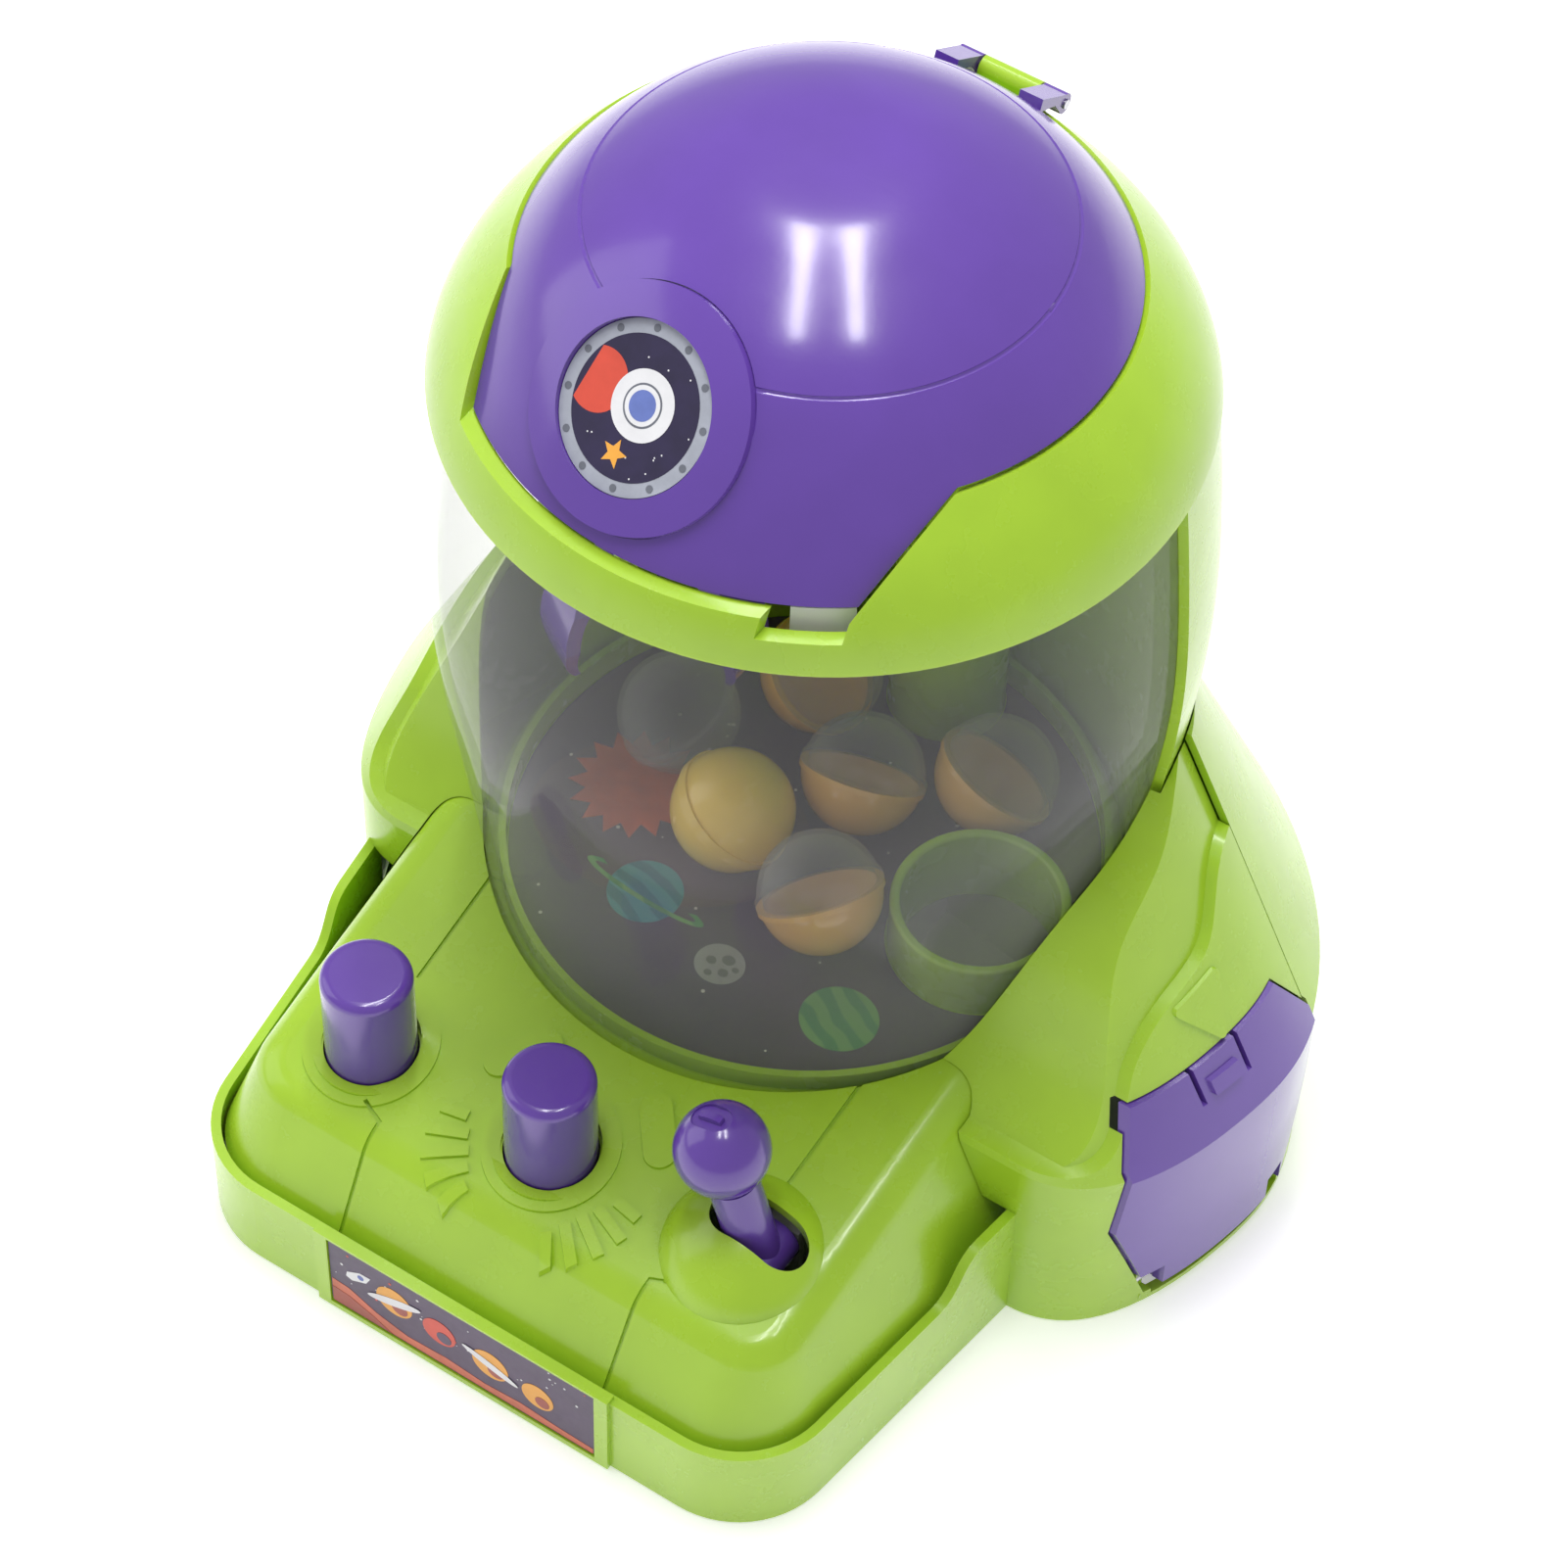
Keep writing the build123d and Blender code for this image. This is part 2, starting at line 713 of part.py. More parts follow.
def badge_plane():
    """Plane on the dome at the porthole, facing outward."""
    azimuth = radians(BADGE_AZIMUTH)
    tilt = radians(BADGE_TILT)
    outward = (sin(azimuth) * cos(tilt), -cos(azimuth) * cos(tilt), sin(tilt))
    return Plane(origin=BADGE_CENTRE, x_dir=(cos(azimuth), sin(azimuth), 0), z_dir=outward)


def badge_plug():
    with BuildPart() as plug:
        with BuildSketch(badge_plane().offset(-4.4)):
            Circle(BADGE_RADIUS + 0.2)
        extrude(amount=14)
    return plug.part


def dome_solid(grow):
    """Solid inside the lid's outer face, moved outward by grow."""
    moved = [(r + grow * n, z + grow * m) for (r, z), (n, m) in zip(DOME, LID_NORMALS)]
    with BuildPart() as solid:
        with BuildSketch(Plane.XZ):
            with BuildLine():
                Spline(*moved, tangents=[(-0.53, 0.85), (-1, 0)])
                Polyline(moved[-1], (0, 190), (moved[0][0] + 6, 190), moved[0])
            make_face()
        revolve(axis=Axis.Z)
    return solid.part


def porthole_bezel():
    """Domed disc set into the lid, standing a little proud, with a recess for the picture."""
    with BuildPart() as bezel:
        with BuildSketch(badge_plane().offset(-4.4)):
            Circle(BADGE_RADIUS)
        extrude(amount=12)
        add(dome_solid(1.5), mode=Mode.INTERSECT)
        with BuildSketch(badge_plane().offset(-1.6)):
            Circle(PICTURE_RADIUS + 0.15)
        extrude(amount=12, mode=Mode.SUBTRACT)
    return bezel.part


def porthole_picture():
    with BuildPart() as picture:
        with BuildSketch(badge_plane().offset(-1.6)):
            Circle(PICTURE_RADIUS)
        extrude(amount=0.5)
    return picture.part


def hinge_lug():
    """Lug on the hoop, between the lid's knuckles, that carries the hinge pin."""
    y, z = LID_HINGE
    with BuildPart() as lug:
        with BuildSketch(Plane.YZ.offset(-6.6)):
            with Locations((y, z)):
                Circle(2.2)
            with BuildLine():
                Polyline((y + 2.2, z), (y + 3, z - 9), (y - 3, z - 6), (y - 2.2, z), close=True)
            make_face()
        extrude(amount=13.2)
    return lug.part


# ---------------------------------------------------------------- play floor and prize path
def play_floor():
    """Tank floor with a ledge under the window and an upstanding rim inside it."""
    under = FLOOR_TOP - FLOOR_THICKNESS
    with BuildPart() as floor:
        add(post(0, 0, under, FLOOR_TOP, 68.8))
        add(post(0, 0, FLOOR_TOP, 50, 68.8, 65))
        add(turned_band([(70.6, under), (70.6, 50)], [(67, under), (67, 50)], 82, 90))
        add(post(0, 0, FLOOR_TOP, 54.5, 65.9, 64.3))
        add(post(*CHUTE_XY, 30, 60, CHUTE_INNER + CHUTE_WALL), mode=Mode.SUBTRACT)
        add(post(*COLUMN_XY, 30, 60, TURRET_RADIUS + 0.4), mode=Mode.SUBTRACT)
        add(post(*COLUMN_XY, FLOOR_TOP, 60, SLEEVE_RADIUS + 0.2), mode=Mode.SUBTRACT)
    return floor.part


def floor_card():
    """Thin printed card on the tank floor."""
    with BuildPart() as card:
        add(post(0, 0, FLOOR_TOP, FLOOR_TOP + 0.4, 63.9))
        add(post(*CHUTE_XY, 30, 60, CHUTE_INNER + CHUTE_WALL + 0.6), mode=Mode.SUBTRACT)
        add(post(*COLUMN_XY, 30, 60, SLEEVE_RADIUS + 0.3), mode=Mode.SUBTRACT)
    return card.part


def chute_ring():
    """Collar that the prizes drop through."""
    with BuildPart() as ring:
        add(post(*CHUTE_XY, 42, RING_TOP, CHUTE_INNER + CHUTE_WALL, CHUTE_INNER))
        fillet(ring.edges().group_by(Axis.Z)[-1], 0.8)
    return ring.part


def prize_chute():
    """Sloping channel from under the ring to the prize door."""
    x, y = CHUTE_XY
    half = CHUTE_INNER + CHUTE_WALL
    outline = [(x - half, 41.6), (x - half, 24), (CHUTE_END, 6), (CHUTE_END, 30), (x + half + 6, 41.6)]
    channel = [(x - half + 1.6, 50), (x - half + 1.6, 26), (CHUTE_END + 2, 7.4), (CHUTE_END + 2, 50)]
    with BuildPart() as chute:
        with BuildSketch(Plane.XZ.offset(-y - half)):
            with BuildLine():
                Polyline(*outline, close=True)
            make_face()
        extrude(amount=2 * half)
        with BuildSketch(Plane.XZ.offset(-y - half + 1.6)):
            with BuildLine():
                Polyline(*channel, close=True)
            make_face()
        extrude(amount=2 * half - 3.2, mode=Mode.SUBTRACT)
        for side in (-1, 1):
            add(post(60, y + side * (half - 4), 2.4, 16, 2.5))
    return chute.part


# ---------------------------------------------------------------- door
def prize_door():
    """Curved eight-sided door panel with a latch tongue at its top and knuckles at its foot."""
    with BuildPart() as door:
        add(body_form(-0.9, 0))
        add(body_form(1.5, -1), mode=Mode.SUBTRACT)
        add(door_prism(0.5), mode=Mode.INTERSECT)
        # two slots free the latch tongue between them
        for side in (-1, 1):
            centre = -10 + side * 6.5
            add(block((90, centre - 0.6, 58), (130, centre + 0.6, 80)), mode=Mode.SUBTRACT)
        add(tongue_grip())
        add(block((95, -45, -1), (130, 30, 5)), mode=Mode.SUBTRACT)
        for share in EAR_SHARES:
            x, y = door_point(share)
            add(block((x - 6, y - 2.9, 0), (x + 8, y + 2.9, 11.4)), mode=Mode.SUBTRACT)
        for share in (0.22, 0.78):
            x, y = door_point(share)
            add(pin_between(door_point(share - 0.07), door_point(share + 0.07), 3, DOOR_HINGE_Z))
            add(block((x, y - 2.4, DOOR_HINGE_Z - 2), (x + 7, y + 2.4, DOOR_HINGE_Z + 2)))
        add(body_outside(), mode=Mode.SUBTRACT)
        add(pin_between(DOOR_AXIS_A, DOOR_AXIS_B, 1.25, DOOR_HINGE_Z), mode=Mode.SUBTRACT)
    return door.part


def tongue_grip():
    """Small lip on the latch tongue to pull the door open by."""
    with BuildPart() as grip:
        add(body_form(-2.1, 0))
        add(body_form(0, -1), mode=Mode.SUBTRACT)
        add(block((90, -14, 59.5), (130, -6, 63)), mode=Mode.INTERSECT)
    return grip.part


def body_outside():
    """Everything outside the door's outer face, to trim the knuckles' webs."""
    with BuildPart() as outside:
        add(block((95, -45, -2), (150, 30, 56)))
        add(body_form(-0.9, -3), mode=Mode.SUBTRACT)
    return outside.part


# ---------------------------------------------------------------- buttons and joystick
def button_spring(x, y):
    return coil_spring(x, y, 38.1, BUTTON_TOP - 2.6, 5, 0.5, 9)


def push_button(x, y):
    """Tall hollow knob with a stop flange under the deck."""
    with BuildPart() as button:
        add(post(x, y, BUTTON_SKIRT, BUTTON_TOP, BUTTON_RADIUS))
        fillet(button.edges().group_by(Axis.Z)[-1], 2.2)
        add(post(x, y, 34.5, 37.6, 12.2))
        add(post(x, y, BUTTON_SKIRT - 1, BUTTON_TOP - 2.5, 7.4), mode=Mode.SUBTRACT)
    return button.part


def coil_spring(x, y, bottom, top, radius, wire, turns):
    height = top - bottom - 2 * wire
    climb = height / turns / (2 * pi * radius)
    with BuildPart() as spring:
        with BuildLine():
            Helix(pitch=height / turns, height=height, radius=radius, center=(x, y, bottom + wire))
        start = (x + radius, y, bottom + wire)
        with BuildSketch(Plane(origin=start, x_dir=(1, 0, 0), z_dir=(0, 1, climb))):
            Circle(wire)
        sweep(is_frenet=True)
    return spring.part


def stick_plane():
    """Plane at the joystick's pivot whose Z runs up the leaning stick."""
    lean = radians(STICK_LEAN)
    return Plane(origin=STICK_PIVOT, x_dir=(cos(lean), 0, sin(lean)), z_dir=(-sin(lean), 0, cos(lean)))


def along_stick(low, high, radius):
    with BuildPart() as rod:
        with BuildSketch(stick_plane().offset(low)):
            Circle(radius)
        extrude(amount=high - low)
    return rod.part


def joystick_ball():
    """Ball grip with a moulded recess in its crown."""
    plane = stick_plane().offset(BALL_DISTANCE)
    with BuildPart() as ball:
        with Locations(plane.origin):
            Sphere(BALL_RADIUS)
        with BuildSketch(plane.offset(BALL_RADIUS - 1.4)):
            SlotOverall(9, 6.4)
            Rectangle(5.4, 1.6, mode=Mode.SUBTRACT)
        extrude(amount=3, mode=Mode.SUBTRACT)
        add(along_stick(0, BALL_DISTANCE - 4, 3.02), mode=Mode.SUBTRACT)
        add(along_stick(0, BALL_DISTANCE - 9.2, 5.5), mode=Mode.SUBTRACT)
    return ball.part


def joystick_stem():
    """Stem, cross hub on the pivot pin, and the arm below that drives the slider."""
    x, y, z = STICK_PIVOT
    low_x, low_z = stick_foot()
    with BuildPart() as stem:
        add(along_stick(0, BALL_DISTANCE - 9.2, 5.4))
        add(along_stick(BALL_DISTANCE - 9.2, BALL_DISTANCE - 4.1, 3))
        with BuildSketch(Plane.XZ.offset(-y - 6)):
            with Locations((x, z)):
                Circle(6)
        extrude(amount=12)
        add(along_stick(-STICK_ARM, 0, 2.6))
        with BuildSketch(Plane.XZ.offset(-y)):
            with Locations((low_x, low_z)):
                Circle(2.4)
        extrude(amount=-13)
        with BuildSketch(Plane.XZ.offset(-y - 10)):
            with Locations((x, z)):
                Circle(2.05)
        extrude(amount=20, mode=Mode.SUBTRACT)
    return stem.part


def stick_foot():
    """X and Z of the drive pin at the stick's lower end."""
    lean = radians(STICK_LEAN)
    return STICK_PIVOT[0] + STICK_ARM * sin(lean), STICK_PIVOT[2] - STICK_ARM * cos(lean)


def joystick_bracket():
    """Two cheeks on the bottom cover that hold the joystick's pivot pin."""
    x, y, z = STICK_PIVOT
    with BuildPart() as bracket:
        add(block((x - 17, y - 9.4, 2.4), (x + 17, y + 9.4, 4.4)))
        add(block((x - 5, y - 9.4, 2.4), (x + 5, y - 7, z + 3)))
        add(block((x - 5, y + 7, 25), (x + 5, y + 9.4, z + 3)))
        # the rear cheek has a window for the drive pin
        add(block((x - 17, y + 7, 2.4), (x + 17, y + 9.4, 33)))
        add(block((x - 13, y + 6, 9), (x + 13, y + 10, 29)), mode=Mode.SUBTRACT)
        with BuildSketch(Plane.XZ.offset(-y - 12)):
            with Locations((x, z)):
                Circle(2)
        extrude(amount=24, mode=Mode.SUBTRACT)
    return bracket.part


def joystick_pin():
    x, y, z = STICK_PIVOT
    with BuildPart() as pin:
        with BuildSketch(Plane.XZ.offset(-y - 10)):
            with Locations((x, z)):
                Circle(2)
        extrude(amount=20)
    return pin.part


# ---------------------------------------------------------------- swing drive
def involute_flank():
    """Radius and angle of points up one tooth's flank, about the tooth's centre line."""
    base_radius = PITCH_RADIUS * cos(radians(20))
    tip_radius = PITCH_RADIUS + GEAR_MODULE * 0.95
    half_angle = pi / (2 * GEAR_TEETH) - BACKLASH / PITCH_RADIUS
    pitch_roll = sqrt((PITCH_RADIUS / base_radius) ** 2 - 1)
    pitch_involute = pitch_roll - atan2(pitch_roll, 1)
    points = []
    for step in range(5):
        radius = base_radius + (tip_radius - base_radius) * step / 4
        roll = sqrt(max((radius / base_radius) ** 2 - 1, 0))
        angle = half_angle + pitch_involute - (roll - atan2(roll, 1))
        points.append((radius, angle))
    return points


def gear_point(radius, angle):
    return (COLUMN_XY[0] + radius * cos(angle), COLUMN_XY[1] + radius * sin(angle))


def column_gear():
    """Spur gear on the turret's foot."""
    root_radius = PITCH_RADIUS - 1.25 * GEAR_MODULE
    flank = involute_flank()
    foot = (root_radius - 0.4, flank[0][1])
    with BuildPart() as gear:
        add(post(*COLUMN_XY, RACK_Z - 0.5, RACK_Z + 6.5, root_radius))
        with BuildSketch(Plane.XY.offset(RACK_Z - 0.5)):
            for tooth in range(GEAR_TEETH):
                middle = pi / 2 + 2 * pi * tooth / GEAR_TEETH
                one_side = [gear_point(r, middle + a) for r, a in [foot] + flank]
                other_side = [gear_point(r, middle - a) for r, a in [foot] + flank]
                with BuildLine():
                    Polyline(*one_side, *reversed(other_side), close=True)
                make_face()
        extrude(amount=7)
        add(post(*COLUMN_XY, RACK_Z - 1, RACK_Z + 7, TURRET_RADIUS - 2.5), mode=Mode.SUBTRACT)
    return gear.part


def rack_tooth(centre):
    """Corners of one rack tooth in plan."""
    pitch_y = COLUMN_XY[1] + PITCH_RADIUS
    half = pi * GEAR_MODULE / 4 - BACKLASH
    slope = tan(radians(20)) * GEAR_MODULE
    wide = half + 1.3 * slope
    narrow = half - 0.9 * slope
    low = pitch_y - 0.9 * GEAR_MODULE
    high = pitch_y + 1.3 * GEAR_MODULE
    return [(centre - wide, high), (centre - narrow, low), (centre + narrow, low), (centre + wide, high)]


def swing_rack():
    """Slider: a slotted tab at the joystick, a long bar to the back and a rack behind the column."""
    pin_x, pin_z = stick_foot()
    column_x, column_y = COLUMN_XY
    pitch_y = column_y + PITCH_RADIUS
    rear = pitch_y + 8
    left = BAR_X - 3.5
    top = RACK_Z + 3
    with BuildPart() as slider:
        add(block((left, -78, RACK_Z), (pin_x + 4.5, -72, top)))
        add(block((left, -78, RACK_Z), (BAR_X + 3.5, rear, top)))
        add(block((left, pitch_y + 1.2 * GEAR_MODULE, RACK_Z), (RACK_END, rear, top)))
        add(block((pin_x - 6, -80, pin_z - 7), (pin_x + 6, -77.2, top)))
        with BuildSketch(Plane.XZ.offset(70)):
            with Locations((pin_x, pin_z - 0.6)):
                SlotOverall(6.8, 5.2, rotation=90)
        extrude(amount=15, mode=Mode.SUBTRACT)
        with BuildSketch(Plane.XY.offset(RACK_Z)):
            for tooth in range(-2, 7):
                with BuildLine():
                    Polyline(*rack_tooth(column_x + (tooth + 0.5) * pi * GEAR_MODULE), close=True)
                make_face()
        extrude(amount=3)
    return slider.part


def rack_guides():
    """Two posts on the bottom cover, each with a window that the slider runs through."""
    rear_y = COLUMN_XY[1] + PITCH_RADIUS + 4.75
    with BuildPart() as guides:
        for x, y, half in ((22, -75, 3), (35, rear_y, 3.3)):
            add(block((x - 4, y - half - 2.6, 2.4), (x + 4, y + half + 2.6, RACK_Z + 6)))
            low = (x - 5, y - half - 0.35, RACK_Z - 0.35)
            add(block(low, (x + 5, y + half + 0.35, RACK_Z + 3.35)), mode=Mode.SUBTRACT)
    return guides.part


# ---------------------------------------------------------------- lift drive
def lever_plane():
    """Plane at the lever's pivot: X runs along the lever to the column, Z points up."""
    dx = COLUMN_XY[0] - LIFT_XY[0]
    dy = COLUMN_XY[1] - LIFT_XY[1]
    length = sqrt(dx * dx + dy * dy)
    slope = radians(LEVER_SLOPE)
    ux, uy = dx / length, dy / length
    share = LEVER_SHORT / length
    origin = (LIFT_XY[0] + dx * share, LIFT_XY[1] + dy * share, LEVER_PIVOT_Z)
    x_dir = (ux * cos(slope), uy * cos(slope), -sin(slope))
    z_dir = (ux * sin(slope), uy * sin(slope), cos(slope))
    return Plane(origin=origin, x_dir=x_dir, z_dir=z_dir)


def lever_side():
    """Plane through the lever's pivot whose normal is the pivot's axis."""
    plane = lever_plane()
    return Plane(origin=plane.origin, x_dir=plane.x_dir, z_dir=-plane.y_dir)


def across_pivot(radius, half_length):
    with BuildPart() as round_bar:
        with BuildSketch(lever_side().offset(-half_length)):
            Circle(radius)
        extrude(amount=2 * half_length)
    return round_bar.part


def lift_lever():
    """Rocker from the lift knob to the column, forked around the knob's post."""
    long_arm = lever_long_arm()
    plane = lever_plane()
    neck = LEVER_SHORT - 9
    with BuildPart() as lever:
        with BuildSketch(plane.offset(-2.5)):
            with Locations(((long_arm - neck) / 2, 0)):
                Rectangle(long_arm + neck, 6)
            with Locations((long_arm, 0)):
                Circle(4)
            with Locations((1 - neck, 0)):
                Rectangle(3, 18.8)
            with Locations((-neck - 5, 7.8), (-neck - 5, -7.8)):
                Rectangle(10, 3.2)
        extrude(amount=5)
        with BuildSketch(lever_side().offset(-3)):
            Circle(4.6)
        extrude(amount=6)
        add(across_pivot(2.05, 10), mode=Mode.SUBTRACT)
    return lever.part


def lever_long_arm():
    """Distance from the lever's pivot to the column's axis along the lever."""
    dx = COLUMN_XY[0] - LIFT_XY[0]
    dy = COLUMN_XY[1] - LIFT_XY[1]
    return sqrt(dx * dx + dy * dy) - LEVER_SHORT


def lever_pin():
    return across_pivot(2, 7)


def lever_bracket():
    """Two cheeks that hold the lever's pin."""
    plane = lever_side()
    spot = plane.origin
    flat = Plane(origin=(spot.X, spot.Y, 2.4), x_dir=(plane.x_dir.X, plane.x_dir.Y, 0), z_dir=(0, 0, 1))
    with BuildPart() as bracket:
        with BuildSketch(flat):
            with Locations((0, 4.8), (0, -4.8)):
                Rectangle(9, 2.6)
        extrude(amount=LEVER_PIVOT_Z + 1.2)
        with BuildSketch(flat):
            Rectangle(16, 12.2)
        extrude(amount=2)
        add(across_pivot(2, 10), mode=Mode.SUBTRACT)
    return bracket.part


# ---------------------------------------------------------------- column and crane
def boom_plane(height):
    """Plane at the column whose -Y runs along the boom at rest."""
    turn = radians(REST_SWING)
    return Plane(origin=(COLUMN_XY[0], COLUMN_XY[1], height), x_dir=(cos(turn), sin(turn), 0), z_dir=(0, 0, 1))


def column_sleeve():
    """Fixed sleeve that the turret turns in."""
    x, y = COLUMN_XY
    with BuildPart() as sleeve:
        add(post(x, y, FLOOR_TOP, SLEEVE_TOP, SLEEVE_RADIUS))
        fillet(sleeve.edges().group_by(Axis.Z)[-1], 2)
        add(post(x, y, FLOOR_TOP - 1, SLEEVE_TOP - 12, SLEEVE_RADIUS - WALL), mode=Mode.SUBTRACT)
        add(post(x, y, FLOOR_TOP - 1, SLEEVE_TOP + 1, TURRET_RADIUS + 0.08), mode=Mode.SUBTRACT)
    return sleeve.part


def turret_tube():
    """Turning tube with two long slots for the cross pin."""
    x, y = COLUMN_XY
    with BuildPart() as tube:
        add(post(x, y, RACK_Z + 6.5, TURRET_TOP, TURRET_RADIUS))
        add(post(x, y, RACK_Z - 0.5, RACK_Z + 6.5, TURRET_RADIUS - 2.5))
        add(post(x, y, 20, TURRET_TOP + 1, ROD_RADIUS + 0.08), mode=Mode.SUBTRACT)
        with BuildSketch(boom_plane(BOOM_Z - 2.2)):
            Rectangle(20, 4)
        extrude(amount=LIFT + 4.4, mode=Mode.SUBTRACT)
    return tube.part


def turret_collar():
    x, y = COLUMN_XY
    return post(x, y, SLEEVE_TOP + 0.3, SLEEVE_TOP + 4, SLEEVE_RADIUS - 1.5, TURRET_RADIUS)


def lift_rod():
    x, y = COLUMN_XY
    with BuildPart() as rod:
        add(post(x, y, ROD_FOOT, BOOM_Z + 8, ROD_RADIUS))
        chamfer(rod.edges().group_by(Axis.Z)[0], 1)
        add(cross_pin(), mode=Mode.SUBTRACT)
    return rod.part


def cross_pin():
    plane = boom_plane(BOOM_Z)
    side = Plane(origin=plane.origin, x_dir=(0, 0, 1), z_dir=plane.x_dir)
    with BuildPart() as pin:
        with BuildSketch(side.offset(-11.4)):
            Circle(1.6)
        extrude(amount=22.8)
    return pin.part


def boom():
    """Carriage that slides on the turret, with the arm that carries the claw."""
    with BuildPart() as arm:
        with BuildSketch(boom_plane(BOOM_Z - 9)):
            Circle(11.5)
        extrude(amount=18)
        with BuildSketch(boom_plane(BOOM_Z - 1)):
            with Locations((0, -REACH / 2)):
                Rectangle(9, REACH)
            with Locations((0, -REACH)):
                Circle(8.5)
        extrude(amount=8)
        with BuildSketch(boom_plane(BOOM_Z + 5)):
            with Locations((0, -REACH / 2)):
                Rectangle(5, REACH - 34)
        extrude(amount=5, mode=Mode.SUBTRACT)
        with BuildSketch(boom_plane(BOOM_Z - 20)):
            Circle(TURRET_RADIUS + 0.08)
        extrude(amount=40, mode=Mode.SUBTRACT)
        add(cross_pin(), mode=Mode.SUBTRACT)
        with BuildSketch(boom_plane(BOOM_Z - 2)):
            with Locations((0, -REACH)):
                Circle(2.3)
        extrude(amount=12, mode=Mode.SUBTRACT)
    return arm.part


def claw_centre():
    return boom_plane(0).from_local_coords((0, -REACH, 0))


def finger_plane(index):
    """Radial plane of one finger: X runs outward from the claw's axis, Y up."""
    centre = claw_centre()
    angle = radians(120 * index)
    outward = (cos(angle), sin(angle), 0)
    return Plane(origin=(centre.X, centre.Y, 0), x_dir=outward, z_dir=(sin(angle), -cos(angle), 0))


def claw_hub():
    """Round head under the boom with three pairs of ears for the fingers."""
    centre = claw_centre()
    with BuildPart() as hub:
        add(post(centre.X, centre.Y, FINGER_HINGE_Z + 4, BOOM_Z - 1, 11.5))
        fillet(hub.edges().group_by(Axis.Z)[-1], 3)
        for index in range(3):
            for side in (-1, 1):
                with BuildSketch(finger_plane(index).offset(side * 4.1 - 0.9)):
                    with Locations((FINGER_HINGE_R, FINGER_HINGE_Z)):
                        Circle(2.4)
                    with Locations((FINGER_HINGE_R, FINGER_HINGE_Z + 2.5)):
                        Rectangle(4.8, 5)
                extrude(amount=1.8)
            with BuildSketch(finger_plane(index).offset(-6)):
                with Locations((FINGER_HINGE_R, FINGER_HINGE_Z)):
                    Circle(1.2)
            extrude(amount=12, mode=Mode.SUBTRACT)
        add(post(centre.X, centre.Y, 100, 140, 1.7), mode=Mode.SUBTRACT)
        add(post(centre.X, centre.Y, 100, FINGER_HINGE_Z + 8, 5.6), mode=Mode.SUBTRACT)
    return hub.part


def finger_pins():
    with BuildPart() as pins:
        for index in range(3):
            with BuildSketch(finger_plane(index).offset(-5.2)):
                with Locations((FINGER_HINGE_R, FINGER_HINGE_Z)):
                    Circle(1.2)
            extrude(amount=10.4)
    return pins.part


def claw_plunger():
    """Stem and disc that pull the fingers' tails up."""
    centre = claw_centre()
    with BuildPart() as plunger:
        add(post(centre.X, centre.Y, FINGER_HINGE_Z - 3.6, FINGER_HINGE_Z - 1.9, 5))
        add(post(centre.X, centre.Y, FINGER_HINGE_Z - 1.9, BOOM_Z + 9, 1.6))
        add(post(centre.X, centre.Y, BOOM_Z + 7.4, BOOM_Z + 9, 3.4))
    return plunger.part


def finger_hook(index):
    """Curved blade of a finger, before it is cut to its front outline."""
    r, z = FINGER_HINGE_R, FINGER_HINGE_Z
    outer = [(r + 1, z + 2.2), (r + 11.5, z - 6), (r + 15, z - 17), (r + 10.6, z - 34)]
    inner = [(r - 0.5, z - 2.2), (r + 8.6, z - 8.4), (r + 11.6, z - 17), (r + 9.4, z - 33.6)]
    with BuildPart() as hook:
        with BuildSketch(finger_plane(index).offset(-7)):
            with BuildLine():
                outside = Spline(*outer)
                inside = Spline(*inner)
                Line(outside @ 0, inside @ 0)
                Line(outside @ 1, inside @ 1)
            make_face()
        extrude(amount=14)
    return hook.part


def finger_outline(index):
    """Front outline of a finger as a prism: narrow, then broad, then pointed."""
    z = FINGER_HINGE_Z
    half = [(2.9, z + 6), (2.9, z - 2), (6.4, z - 9), (6.6, z - 20), (0.8, z - 35)]
    other = [(-x, height) for x, height in reversed(half)]
    plane = finger_plane(index)
    with BuildPart() as prism:
        with BuildSketch(Plane(origin=plane.origin, x_dir=plane.z_dir, z_dir=-plane.x_dir)):
            with BuildLine():
                Polyline(*[(x, height) for x, height in half + other], close=True)
            make_face()
        extrude(amount=-40)
    return prism.part


def claw_finger(index):
    """Hooked finger: narrow at its hinge and tip, broad in the middle, with a short tail inside."""
    r, z = FINGER_HINGE_R, FINGER_HINGE_Z
    plane = finger_plane(index)
    with BuildPart() as finger:
        add(finger_hook(index))
        add(finger_outline(index), mode=Mode.INTERSECT)
        with BuildSketch(plane.offset(-2.9)):
            with Locations((r, z)):
                Circle(2.4)
            with Locations((r - 2.6, z + 0.3)):
                Rectangle(5.2, 2.2)
        extrude(amount=5.8)
        with BuildSketch(plane.offset(-6)):
            with Locations((r, z)):
                Circle(1.27)
        extrude(amount=12, mode=Mode.SUBTRACT)
    return finger.part


# ---------------------------------------------------------------- capsules and trims
def capsule_half(x, y, upper, turn):
    """One half of a two-part prize capsule: a thin shell with a rim."""
    z = FLOOR_TOP + 0.42 + CAPSULE_RADIUS - 0.5
    tilt = radians(CAPSULE_TILT)
    axis = (sin(tilt) * cos(radians(turn)), sin(tilt) * sin(radians(turn)), cos(tilt))
    plane = Plane(origin=(x, y, z), z_dir=axis)
    sign = 1 if upper else -1
    with BuildPart(plane) as half:
        Sphere(CAPSULE_RADIUS - 0.5)
        with BuildSketch(plane):
            Circle(CAPSULE_RADIUS)
        extrude(amount=sign * 1.2)
        with BuildSketch(plane):
            Rectangle(60, 60)
        extrude(amount=-30 * sign, mode=Mode.SUBTRACT)
        Sphere(CAPSULE_RADIUS - 1.6, mode=Mode.SUBTRACT)
    return half.part


